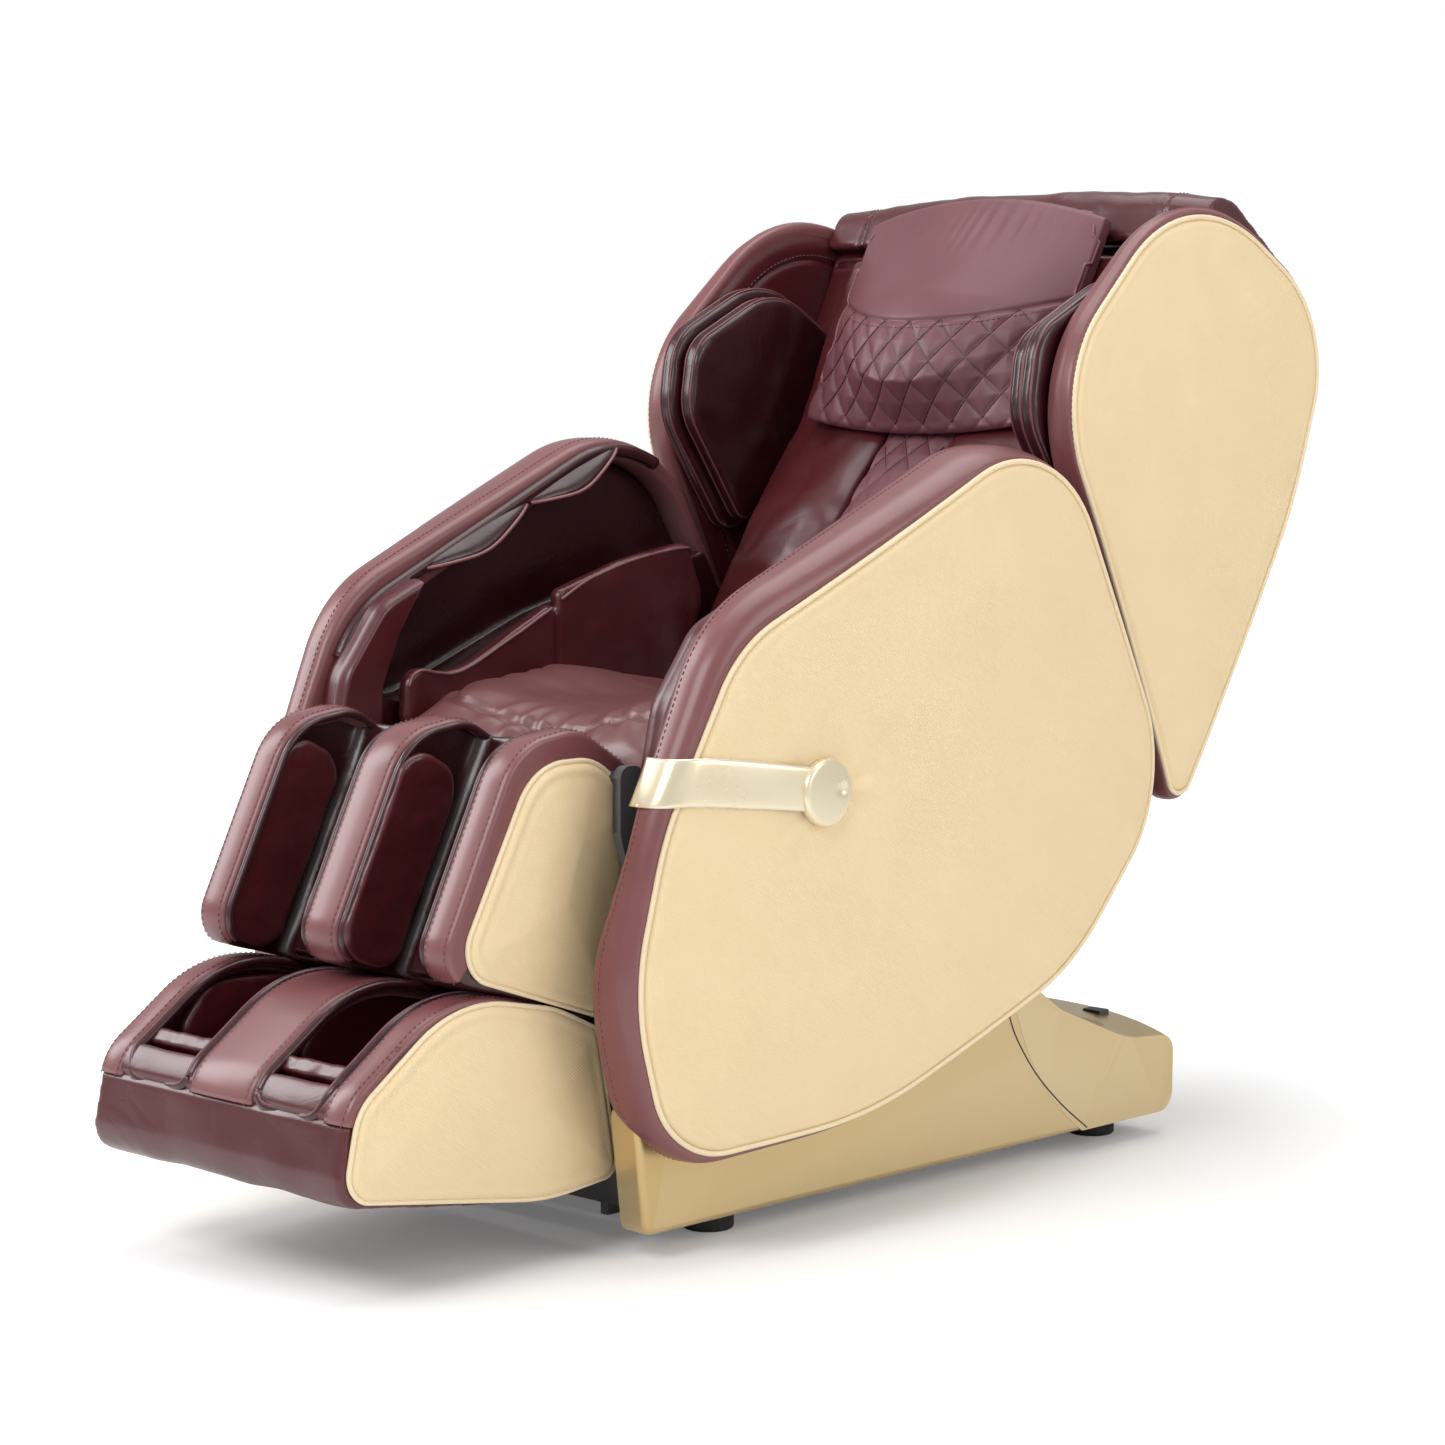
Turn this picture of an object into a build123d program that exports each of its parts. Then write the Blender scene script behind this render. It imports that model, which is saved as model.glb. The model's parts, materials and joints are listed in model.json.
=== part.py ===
from build123d import *
import math
import os

# Massage chair. X runs across the chair with +X at the sitter's left, -Y is the front, Z is up.
# Side outlines are (y, z) corners with one fillet radius each. Each assembly is measured from its
# own hinge, so an assembly follows its hinge when that moves.

# Hinges and reference points, as (y, z)
datum_y = 19.5
tilt_pivot = (datum_y, 250)
recline_pivot = (tilt_pivot[0] + 235, tilt_pivot[1] + 155)
calf_pivot = (tilt_pivot[0] - 395, tilt_pivot[1] + 285)

# Widths across the chair, as distances from the middle plane
seat_half = 248
body_gap = 5
base_inner = 245
base_wall = 40
arm_low_gap = 13
arm_pad_width = 22
arm_front_inner = 268
leg_half = 214
leg_panel = 12
leg_wall = 32
middle_wall = 26
wing_inner = 322
strip_half = 57

# Wall and panel thicknesses
skin = 4
panel_thickness = 10
rim_wall = 12
housing_wall = 5

# Bought-in sizes
shaft_radius = 10
running_gap = 0.05
soft_gap = 0.4
foot_height = 35
foot_radius = 30
wheel_radius = 24
wheel_width = 34
axle_radius = 6
wheel_bracket_x = 130
actuator_radius = 20
rod_radius = 9
pin_radius = 7
roller_radius = 22
eye_width = 22
block_width = 46
block_tall = 40
block_length = 50

inlet_x = -120
inlet_z = 82
inlet_width = 48
inlet_tall = 30
switch_x = 195
switch_y = datum_y + 500
switch_width = 21
switch_length = 29

# Frames
tube_side = 36
rail_width = 24
rail_height = 26
rail_x = 200
bar_x = 200
bar_width = 26
seat_rail_x = 160
seat_rail_bottom = 385
hinge_plate = 12

# Outer curvature of the arms in plan and of the wings in height
arm_widest = 390
arm_widest_y = tilt_pivot[0] + 96
arm_plan_radius = 2830
wing_widest = 369
wing_widest_z = recline_pivot[1] + 321
wing_radius = 5430

os.makedirs("parts", exist_ok=True)


def from_point(anchor, corners):
    """Corners measured from an anchor, given in the chair's own (y, z)."""
    return [(anchor[0] + y, anchor[1] + z) for y, z in corners]


def outline(corners, radii, x, grow=0):
    """Closed, filleted side outline in the plane at x, grown or shrunk all round."""
    with BuildSketch(Plane.YZ.offset(x)) as face:
        with BuildLine():
            FilletPolyline(*corners, radius=radii, close=True)
        make_face()
        if grow:
            offset(amount=grow)
    return face.sketch


def slab(corners, radii, x_low, x_high, grow=0):
    """Side outline carried across the chair from x_low to x_high."""
    with BuildPart() as body:
        extrude(outline(corners, radii, x_low, grow), amount=x_high - x_low)
    return body.part


def across(sections):
    """Soft body lofted across the chair through side outlines (x, corners, radii)."""
    with BuildPart() as body:
        for x, corners, radii in sections:
            with BuildSketch(Plane.YZ.offset(x)):
                with BuildLine():
                    FilletPolyline(*corners, radius=radii, close=True)
                make_face()
        loft()
    return body.part


def shrunk(corners, amount):
    """Corners drawn in towards their middle by about the given amount."""
    middle_y = sum(y for y, z in corners) / len(corners)
    middle_z = sum(z for y, z in corners) / len(corners)
    drawn = []
    for y, z in corners:
        reach = math.hypot(y - middle_y, z - middle_z)
        share = (reach - amount) / reach
        drawn.append((middle_y + (y - middle_y) * share, middle_z + (z - middle_z) * share))
    return drawn


def pad(corners, radii, x_low, x_high, draw_in):
    """Cushion between two x values, full in the middle and drawn in at both sides."""
    quarter = (x_high - x_low) / 4
    drawn = shrunk(corners, draw_in)
    return across([
        (x_low, drawn, radii),
        (x_low + quarter, corners, radii),
        (x_high - quarter, corners, radii),
        (x_high, drawn, radii),
    ])


def save(part, name):
    part.label = name
    export_step(part, f"parts/{name}.step")


def save_pair(part, name):
    save(part, f"{name}_left")
    save(mirror(part, about=Plane.YZ), f"{name}_right")


def cross_rod(point, radius, half_length):
    """Round bar across the chair through a (y, z) point."""
    with BuildPart() as bar:
        with BuildSketch(Plane.YZ.offset(-half_length)):
            with Locations(point):
                Circle(radius)
        extrude(amount=2 * half_length)
    return bar.part


def cross_tube(point, half_length, side=tube_side):
    """Square tube across the chair, centred on a (y, z) point."""
    with BuildPart() as tube:
        with BuildSketch(Plane.YZ.offset(-half_length)):
            with Locations(point):
                Rectangle(side, side)
                Rectangle(side - 2 * skin, side - 2 * skin, mode=Mode.SUBTRACT)
        extrude(amount=2 * half_length)
    return tube.part


# ---- Base -------------------------------------------------------------------------------------

base_outer = base_inner + base_wall
shell_low = 30
base_corners = from_point((datum_y, 0), [
    (-411, shell_low), (-428, 170), (-350, 215), (210, 262), (315, 190), (450, 136), (548, 128), (546, shell_low),
])
base_radii = [14, 16, 80, 110, 90, 150, 24, 26]
seam_top = (datum_y + 213, 300)
seam_middle = (datum_y + 268, 118)
seam_low = (datum_y + 378, 20)
seam_gap = 0.2
tail_crown = 25


def seam_region(gap):
    """Everything behind the seam between the side covers and the tail cover."""
    with BuildPart() as region:
        with BuildSketch(Plane.YZ.offset(-400)):
            with BuildLine():
                ThreePointArc(
                    (seam_top[0] + gap, seam_top[1]),
                    (seam_middle[0] + gap, seam_middle[1]),
                    (seam_low[0] + gap, seam_low[1]),
                )
                Polyline(
                    (seam_low[0] + gap, seam_low[1]),
                    (seam_low[0] + 400, seam_low[1]),
                    (seam_low[0] + 400, seam_top[1]),
                    (seam_top[0] + gap, seam_top[1]),
                )
            make_face()
        extrude(amount=800)
    return region.part


with BuildPart() as base_side_shell:
    extrude(outline(base_corners, base_radii, base_inner), amount=base_wall)
    fillet(base_side_shell.faces().sort_by(Axis.X)[-1].edges(), radius=8)
    extrude(outline(base_corners, base_radii, base_inner, -skin), amount=base_wall - skin, mode=Mode.SUBTRACT)
    add(seam_region(-seam_gap), mode=Mode.SUBTRACT)
save_pair(base_side_shell.part, "base_side_shell")

tail_crown_share = [0, 0, 0, 0, 0.2, 1, 1, 0]
tail_front = datum_y + 300


def tail_section(x, share):
    """Tail outline at x, raised by a share of the crown."""
    raised = [(y, z + share * tail_crown * part) for (y, z), part in zip(base_corners, tail_crown_share)]
    return (x, raised, base_radii)


def tail_body(inset):
    """Crowned tail across the whole base, drawn in by a wall."""
    half = base_outer - inset
    sections = [tail_section(x, share) for x, share in (
        (-half, 0), (-0.8 * half, 0.6), (0, 1), (0.8 * half, 0.6), (half, 0),
    )]
    rear = datum_y + 500
    return across([
        (x, [(y - inset if y > rear else y, z - inset) for y, z in corners], radii) for x, corners, radii in sections
    ])


with BuildPart() as base_rear_cover:
    add(tail_body(0))
    add(tail_body(skin), mode=Mode.SUBTRACT)
    add(seam_region(seam_gap), mode=Mode.INTERSECT)
    with Locations((0, tail_front - 200, 200)):
        Box(2 * base_inner, 400, 400, mode=Mode.SUBTRACT)
    with Locations((0, datum_y + 546 - skin - 200, shell_low + skin)):
        Box(2 * (base_outer - skin), 400, 2 * skin + 1, mode=Mode.SUBTRACT)
    with Locations((inlet_x, datum_y + 546, inlet_z)):
        Box(inlet_width, 60, inlet_tall, mode=Mode.SUBTRACT)
    with Locations((switch_x, switch_y, 140)):
        Box(switch_length, switch_width, 120, mode=Mode.SUBTRACT)
save(base_rear_cover.part, "base_rear_cover")

beam_x = 212
beam_top = foot_height + 50
beam_front = datum_y - 345
beam_rear = datum_y + 505
cross_beams = [beam_front + tube_side / 2, datum_y + 30, datum_y + 485]
rail_low = 168
rail_front = datum_y - 300
rail_rear = datum_y + 215
post_places = [datum_y - 285, datum_y + 195]
wheel_place = (datum_y - 280, wheel_radius + 4)
cover_tabs = [datum_y - 260, datum_y + 40, datum_y + 440]
tray_top = foot_height + 12
tray_middle = datum_y + 382
wheel_x = wheel_bracket_x + hinge_plate / 2 + wheel_width / 2 + 2
with BuildPart() as base_frame:
    for side in (-1, 1):
        with BuildSketch(Plane.XZ.offset(-beam_rear)):
            with Locations((side * beam_x, (foot_height + beam_top) / 2)):
                Rectangle(tube_side, beam_top - foot_height)
                Rectangle(tube_side - 2 * skin, beam_top - foot_height - 2 * skin, mode=Mode.SUBTRACT)
        extrude(amount=beam_rear - beam_front)
        for y in post_places:
            with Locations((side * beam_x, y, (beam_top + rail_low) / 2)):
                Box(tube_side - 12, 30, rail_low - beam_top)
        with Locations((side * wheel_bracket_x, wheel_place[0] + 16, (wheel_place[1] + beam_top) / 2 - 6)):
            Box(hinge_plate, wheel_place[0] + 16 - cross_beams[0], beam_top - wheel_place[1] + 12,
                align=(Align.CENTER, Align.MAX, Align.CENTER))
        for y in cover_tabs:
            with Locations((side * (beam_x + tube_side / 2 - 1), y, foot_height + 26)):
                Box(base_outer - skin - soft_gap - beam_x - tube_side / 2 + 1, 30, 6,
                    align=(Align.MIN if side > 0 else Align.MAX, Align.CENTER, Align.CENTER))
    with Locations((0, tray_middle, tray_top - skin / 2)):
        Box(2 * beam_x - tube_side + 4, 180, skin)
    for y in cross_beams:
        add(cross_tube((y, beam_top - tube_side / 2), beam_x - tube_side / 2 + skin))
    add(cross_rod(wheel_place, axle_radius + running_gap, beam_x), mode=Mode.SUBTRACT)
save(base_frame.part, "base_frame")

with BuildPart() as base_feet:
    with Locations(*[(side * beam_x, y, 0) for side in (-1, 1) for y in (datum_y - 300 + 60, datum_y + 470)]):
        Cylinder(foot_radius, foot_height, align=(Align.CENTER, Align.CENTER, Align.MIN))
    fillet(base_feet.faces().group_by(Axis.Z)[0].edges(), radius=4)
save(base_feet.part, "base_feet")

with BuildPart() as transport_wheels:
    add(cross_rod(wheel_place, axle_radius, wheel_x + wheel_width / 2))
    for side in (-1, 1):
        with BuildSketch(Plane.YZ.offset(side * wheel_x - wheel_width / 2)):
            with Locations(wheel_place):
                Circle(wheel_radius)
        extrude(amount=wheel_width)
save(transport_wheels.part, "transport_wheels")

with BuildPart() as slide_rails:
    for side in (-1, 1):
        with Locations((side * (rail_x + rail_width / 2), (rail_front + rail_rear) / 2, rail_low + rail_height / 2)):
            Box(rail_width, rail_rear - rail_front, rail_height)
    chamfer(slide_rails.edges().filter_by(Axis.Y), length=2)
save(slide_rails.part, "slide_rails")

with BuildPart() as base_front_cover:
    with Locations((0, beam_front - 3 - soft_gap, 118)):
        Box(2 * (base_inner - 2), 6, 160)
    fillet(base_front_cover.edges().filter_by(Axis.Y), radius=10)
save(base_front_cover.part, "base_front_cover")

with BuildPart() as power_box:
    with Locations((-90, tray_middle, tray_top + 33)):
        Box(150, 140, 66)
    fillet(power_box.edges().filter_by(Axis.Z), radius=8)
    chamfer(power_box.faces().sort_by(Axis.Z)[-1].edges(), length=2)
save(power_box.part, "power_box")

with BuildPart() as air_pump_box:
    with Locations((95, tray_middle, tray_top + 38)):
        Box(170, 150, 76)
    fillet(air_pump_box.edges().filter_by(Axis.Z), radius=14)
save(air_pump_box.part, "air_pump_box")


# ---- Actuators --------------------------------------------------------------------------------


def actuator_plane(x, pin, angle):
    """Plane at an actuator's pin whose normal runs along the rod, away from the pin."""
    along = (0, math.cos(math.radians(angle)), math.sin(math.radians(angle)))
    return Plane(origin=(x, pin[0], pin[1]), x_dir=(1, 0, 0), z_dir=along)


def actuator_rod(x, pin, angle, length, play, slack):
    """Rod whose eye is slotted across the rod, so that the open pivot clears its pin."""
    eye_depth = 2 * (pin_radius + slack) + 14
    eye_tall = 2 * (pin_radius + play) + 14
    with BuildPart(actuator_plane(x, pin, angle)) as rod:
        Box(eye_width, eye_tall, eye_depth)
        with Locations((0, 0, eye_depth / 2)):
            Cylinder(rod_radius, length, align=(Align.CENTER, Align.CENTER, Align.MIN))
        with BuildSketch(Plane.YZ.offset(x - eye_width)):
            with Locations(pin):
                SlotCenterToCenter(2 * play, 2 * (pin_radius + slack), rotation=angle + 90)
        extrude(amount=2 * eye_width, mode=Mode.SUBTRACT)
    return rod.part


def actuator_body(x, pin, angle, start, length):
    """Tube with a gear and motor block at its far end, bored for the rod."""
    with BuildPart(actuator_plane(x, pin, angle).offset(start)) as body:
        Cylinder(actuator_radius, length, align=(Align.CENTER, Align.CENTER, Align.MIN))
        with Locations((0, 0, length)):
            Box(block_width, block_tall, block_length, align=(Align.CENTER, Align.CENTER, Align.MAX))
        Cylinder(rod_radius + running_gap, length - skin, align=(Align.CENTER, Align.CENTER, Align.MIN),
                 mode=Mode.SUBTRACT)
    return body.part


back_pin = (recline_pivot[0] + 31, recline_pivot[1] - 85)
back_actuator_z = recline_pivot[1] - 87.5
calf_pin = (calf_pivot[0] + 50, calf_pivot[1] - 86.6)
calf_actuator_z = calf_pivot[1] - 93.3
tilt_pin = (tilt_pivot[0] - 130, tilt_pivot[1] + 70)
tilt_angle = 234.2
tilt_x = 90
slide_x = -90
slide_pin = (datum_y + 96, 140)

save(actuator_body(0, (back_pin[0], back_actuator_z), 180, 150, 230), "back_actuator")
save(actuator_rod(0, (back_pin[0], back_actuator_z), 180, 205, 5, 0.6), "back_actuator_rod")
save(actuator_body(0, (calf_pin[0], calf_actuator_z), 0, 35, 225), "calf_actuator")
save(actuator_rod(0, (calf_pin[0], calf_actuator_z), 0, 190, 9, 1.3), "calf_actuator_rod")
save(actuator_body(tilt_x, tilt_pin, tilt_angle, 62, 58), "tilt_actuator")
save(actuator_rod(tilt_x, tilt_pin, tilt_angle, 92, 1.5, 0.4), "tilt_actuator_rod")
save(actuator_body(slide_x, slide_pin, 180, 130, 240), "slide_actuator")
save(actuator_rod(slide_x, slide_pin, 180, 215, 0.5, 0.05), "slide_actuator_rod")

# ---- Carriage ---------------------------------------------------------------------------------

runner_front = datum_y - 190
runner_rear = datum_y + 150
rail_top = rail_low + rail_height
runner_gap = 0.3
runner_top = rail_top + 20
flange_inner = rail_x - 14
carriage_lug = seat_rail_x + hinge_plate + 2
with BuildPart() as carriage_frame:
    for side in (-1, 1):
        with BuildSketch(Plane.XZ.offset(-runner_rear)):
            with Locations((side * (flange_inner + rail_x + rail_width) / 2, (rail_top + runner_gap + runner_top) / 2)):
                Rectangle(rail_x + rail_width - flange_inner, runner_top - rail_top - runner_gap)
            with Locations((side * (flange_inner + rail_x - runner_gap) / 2, (rail_low + 6 + runner_top) / 2)):
                Rectangle(rail_x - runner_gap - flange_inner, runner_top - rail_low - 6)
        extrude(amount=runner_rear - runner_front)
        with BuildSketch(Plane.YZ.offset(side * (carriage_lug + hinge_plate / 2) - hinge_plate / 2)):
            with BuildLine():
                FilletPolyline(
                    (tilt_pivot[0] - 60, rail_low + 10), (tilt_pivot[0] - 22, tilt_pivot[1] + 22),
                    (tilt_pivot[0] + 22, tilt_pivot[1] + 22), (tilt_pivot[0] + 60, rail_low + 10),
                    radius=[3, 20, 20, 3], close=True)
            make_face()
        extrude(amount=hinge_plate)
    for y in (runner_front + tube_side / 2, runner_rear - tube_side / 2):
        add(cross_tube((y, rail_low + 24), flange_inner + 2))
    add(cross_rod(tilt_pivot, shaft_radius, carriage_lug + hinge_plate))
    with Locations((slide_x, slide_pin[0], (slide_pin[1] + rail_low + 10) / 2)):
        for side in (-1, 1):
            with Locations((side * (eye_width / 2 + 6), 0, 0)):
                Box(8, 36, rail_low - slide_pin[1] + 34)
        with Locations((0, 0, rail_low + 14 - (slide_pin[1] + rail_low + 10) / 2)):
            Box(eye_width + 20, 60, 14)
    with BuildSketch(Plane.YZ.offset(slide_x - eye_width / 2 - 10)):
        with Locations(slide_pin):
            Circle(pin_radius)
    extrude(amount=eye_width + 20)
save(carriage_frame.part, "carriage_frame")

# ---- Seat -------------------------------------------------------------------------------------

seat_rail_top = seat_rail_bottom + 45
seat_tube_z = seat_rail_bottom + tube_side / 2
seat_rail_front = calf_pivot[0] + 52
seat_front = calf_pivot[0] + 46
seat_bottom = seat_rail_top + 40
seat_rear = tilt_pivot[0] + 122
calf_plate_x = leg_half + leg_panel + 6
arm_inner = seat_half + body_gap + arm_pad_width
arm_mounts = [tilt_pivot[0] - 200, tilt_pivot[0] + 92]
middle_tube_y = tilt_pivot[0] - 105
with BuildPart() as seat_frame:
    for side in (-1, 1):
        with Locations((side * (seat_rail_x + rail_width / 2), (seat_rail_front + recline_pivot[0] + 18) / 2,
                        (seat_rail_bottom + seat_rail_top) / 2)):
            Box(rail_width, recline_pivot[0] + 18 - seat_rail_front, seat_rail_top - seat_rail_bottom)
        with BuildSketch(Plane.YZ.offset(side * (seat_rail_x + hinge_plate / 2) - hinge_plate / 2)):
            with BuildLine():
                FilletPolyline(
                    (tilt_pivot[0] - 50, seat_rail_bottom + 5), (tilt_pivot[0] - 20, tilt_pivot[1] - 20),
                    (tilt_pivot[0] + 20, tilt_pivot[1] - 20), (tilt_pivot[0] + 50, seat_rail_bottom + 5),
                    radius=[3, 18, 18, 3], close=True)
            make_face()
        extrude(amount=hinge_plate)
        with BuildSketch(Plane.YZ.offset(side * (calf_plate_x + hinge_plate / 2) - hinge_plate / 2)):
            with BuildLine():
                FilletPolyline(
                    *from_point(calf_pivot, [(-15, 15), (18, 15), (34, -76), (110, -78), (110, -142), (10, -142),
                                             (-15, -60)]),
                    radius=[14, 14, 10, 5, 5, 30, 20], close=True)
            make_face()
        extrude(amount=hinge_plate)
        with BuildSketch(Plane.YZ.offset(side * (calf_plate_x - 17) - 18)):
            with Locations(calf_pivot):
                Circle(pin_radius + 1)
        extrude(amount=36)
        with Locations((tilt_x + side * (eye_width / 2 + 5), 0, 0)):
            with Locations((0, tilt_pin[0] + 6, (tilt_pin[1] + seat_rail_bottom) / 2)):
                Box(6, 30, seat_rail_bottom - tilt_pin[1] + 28)
    add(cross_tube((calf_pivot[0] + 86, seat_tube_z), calf_plate_x + 2))
    add(cross_tube((middle_tube_y, seat_tube_z), seat_rail_x + 2))
    for y in arm_mounts:
        add(cross_tube((y, seat_tube_z), arm_inner))
    add(cross_rod(recline_pivot, shaft_radius, bar_x + bar_width + 6))
    with Locations((0, middle_tube_y, (seat_rail_bottom + back_actuator_z + block_tall / 2) / 2)):
        Box(30, 30, seat_rail_bottom - back_actuator_z - block_tall / 2)
    with BuildSketch(Plane.YZ.offset(tilt_x - eye_width / 2 - 8)):
        with Locations(tilt_pin):
            Circle(pin_radius)
    extrude(amount=eye_width + 16)
    add(cross_rod(tilt_pivot, shaft_radius + running_gap, seat_rail_x + hinge_plate + 1), mode=Mode.SUBTRACT)
save(seat_frame.part, "seat_frame")

seat_corners = [
    (seat_front, seat_bottom), (seat_front, seat_bottom + 88), (seat_front + 90, seat_bottom + 128),
    (seat_front + 260, seat_bottom + 140), (seat_rear - 60, seat_bottom + 112), (seat_rear, seat_bottom + 84),
    (seat_rear, seat_bottom),
]
seat_radii = [12, 34, 120, 300, 90, 20, 12]


def lowered(corners, amount, floor):
    """Corners with everything above the floor lowered by an amount."""
    return [(y, z - amount if z > floor else z) for y, z in corners]


seat_pad = across([
    (-seat_half, lowered(seat_corners, 34, seat_bottom), seat_radii),
    (-0.78 * seat_half, seat_corners, seat_radii),
    (0, lowered(seat_corners, 24, seat_bottom), seat_radii),
    (0.78 * seat_half, seat_corners, seat_radii),
    (seat_half, lowered(seat_corners, 34, seat_bottom), seat_radii),
])
save(seat_pad, "seat_pad")

seat_board = 8
with BuildPart() as seat_base:
    with Locations((0, (seat_front + seat_rear) / 2 + 14, seat_bottom - seat_board / 2)):
        Box(2 * seat_half - 12, seat_rear - seat_front - 28, seat_board)
    for side in (-1, 1):
        with Locations((side * (seat_rail_x + rail_width / 2), (seat_front + seat_rear) / 2 + 40, seat_rail_top)):
            Box(rail_width, seat_rear - seat_front - 120, seat_bottom - seat_board - seat_rail_top,
                align=(Align.CENTER, Align.CENTER, Align.MIN))
    fillet(seat_base.edges().filter_by(Axis.Z), radius=4)
save(seat_base.part, "seat_base")

# ---- Arms -------------------------------------------------------------------------------------

arm_corners = from_point(tilt_pivot, [
    (-425, -127), (-470, 60), (-430, 235), (-332, 434), (168, 676), (420, 223), (210, 22), (-146, -108),
])
arm_radii = [90, 300, 400, 160, 158, 155, 350, 600]
rim_corners = from_point(tilt_pivot, [
    (-434, -142), (-490, 60), (-452, 240), (-352, 466), (172, 697), (427, 223), (213, 12), (-146, -121),
])
rim_radii = [100, 300, 420, 190, 176, 160, 350, 600]
arm_low_inner = base_outer + arm_low_gap
inner_body_low = tilt_pivot[1] + 110
channel_corners = from_point(tilt_pivot, [
    (-322, 340), (-256, 328), (-34, 418), (330, 520), (330, 760), (-10, 760), (-322, 480),
])
channel_radii = [34, 80, 300, 4, 4, 4, 4]
channel_wall = 46


def arm_curve(inset):
    """Upright cylinder that shapes the arm in plan, drawn in by an inset."""
    with BuildPart() as body:
        with Locations((arm_widest - arm_plan_radius, arm_widest_y, 0)):
            Cylinder(arm_plan_radius - inset, 1200, align=(Align.CENTER, Align.CENTER, Align.MIN))
    return body.part


with BuildPart() as arm_panel:
    add(slab(arm_corners, arm_radii, arm_low_inner, arm_widest + 10))
    add(arm_curve(0), mode=Mode.INTERSECT)
    add(arm_curve(panel_thickness), mode=Mode.SUBTRACT)
    fillet(arm_panel.faces().sort_by(Axis.X)[-1].edges(), radius=panel_thickness - 2)
save_pair(arm_panel.part, "arm_panel")

with BuildPart() as arm_core:
    add(slab(arm_corners, arm_radii, arm_low_inner, arm_widest, -rim_wall))
    with BuildPart(mode=Mode.PRIVATE) as inner_body:
        add(slab(arm_corners, arm_radii, arm_inner, arm_low_inner, -rim_wall))
        with Locations((arm_inner - 10, tilt_pivot[0], inner_body_low)):
            Box(200, 1200, 1000, align=(Align.MIN, Align.CENTER, Align.MIN), mode=Mode.INTERSECT)
    add(inner_body.part)
    add(arm_curve(panel_thickness), mode=Mode.INTERSECT)
    add(slab(channel_corners, channel_radii, arm_inner - 5, arm_widest - panel_thickness - channel_wall),
        mode=Mode.SUBTRACT)
save_pair(arm_core.part, "arm_core")

with BuildPart() as arm_rim:
    add(slab(rim_corners, rim_radii, arm_low_inner, arm_widest))
    with BuildPart(mode=Mode.PRIVATE) as front_wrap:
        add(slab(rim_corners, rim_radii, arm_front_inner, arm_low_inner + 1))
        with Locations((0, calf_pivot[0] - 38, 0)):
            Box(1000, 400, inner_body_low - soft_gap, align=(Align.CENTER, Align.MAX, Align.MIN), mode=Mode.INTERSECT)
    add(front_wrap.part)
    add(arm_curve(3), mode=Mode.INTERSECT)
    fillet(arm_rim.faces().sort_by(Axis.X)[-1].edges(), radius=6)
    add(slab(arm_corners, arm_radii, arm_low_inner, arm_widest, -rim_wall), mode=Mode.SUBTRACT)
    with BuildPart(mode=Mode.PRIVATE) as panel_seat:
        add(slab(arm_corners, arm_radii, arm_low_inner, arm_widest + 10))
        add(arm_curve(panel_thickness), mode=Mode.SUBTRACT)
    add(panel_seat.part, mode=Mode.SUBTRACT)
save_pair(arm_rim.part, "arm_rim")

# Upper air cells: two flaps that hang from the rim's inner edge over the forearm channel
flap_slope = math.degrees(math.atan2(697 - 466, 172 + 352))
flap_reach = arm_low_inner - seat_half - body_gap - 3
flap_round = min(1, flap_reach / 41)
flap_starts = [(-232, 494), (-56, 570)]
flap_lengths = [184, 166]


def flap(start, length):
    """One hanging flap, its section bent from the rim's edge down and inwards."""
    slope = math.radians(flap_slope)
    place = Plane(
        origin=(arm_low_inner - soft_gap, tilt_pivot[0] + start[0], tilt_pivot[1] + start[1]),
        x_dir=(1, 0, 0),
        z_dir=(0, -math.cos(slope), -math.sin(slope)),
    )
    with BuildPart() as body:
        with BuildSketch(place):
            with BuildLine():
                FilletPolyline(
                    (0, 14), (-0.3 * flap_reach, 10), (-0.82 * flap_reach, -16), (-flap_reach, -40),
                    (-0.72 * flap_reach, -44), (-0.25 * flap_reach, -22), (0, -12),
                    radius=[flap_round * radius for radius in (3, 14, 20, 6, 8, 14, 3)], close=True)
            make_face()
        extrude(amount=-length)
        fillet(body.faces().filter_by(Plane(place.origin, z_dir=place.z_dir)).edges(), radius=3 * flap_round)
    return body.part


with BuildPart() as arm_flaps:
    for start, length in zip(flap_starts, flap_lengths):
        add(flap(start, length))
save_pair(arm_flaps.part, "arm_flaps")

front_pad_corners = from_point(tilt_pivot, [
    (-290, 296), (-286, 374), (-206, 362), (-38, 444), (-38, 296),
])
rear_pad_corners = from_point(tilt_pivot, [
    (-34, 296), (-34, 456), (82, 490), (202, 510), (232, 430), (170, 296),
])
with BuildPart() as arm_pads:
    add(pad(front_pad_corners, [20, 26, 90, 12, 12], arm_inner - arm_pad_width, arm_inner - soft_gap, 9))
    add(pad(rear_pad_corners, [12, 12, 200, 18, 60, 20], arm_inner - arm_pad_width, arm_inner - soft_gap, 9))
save_pair(arm_pads.part, "arm_pads")

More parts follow.
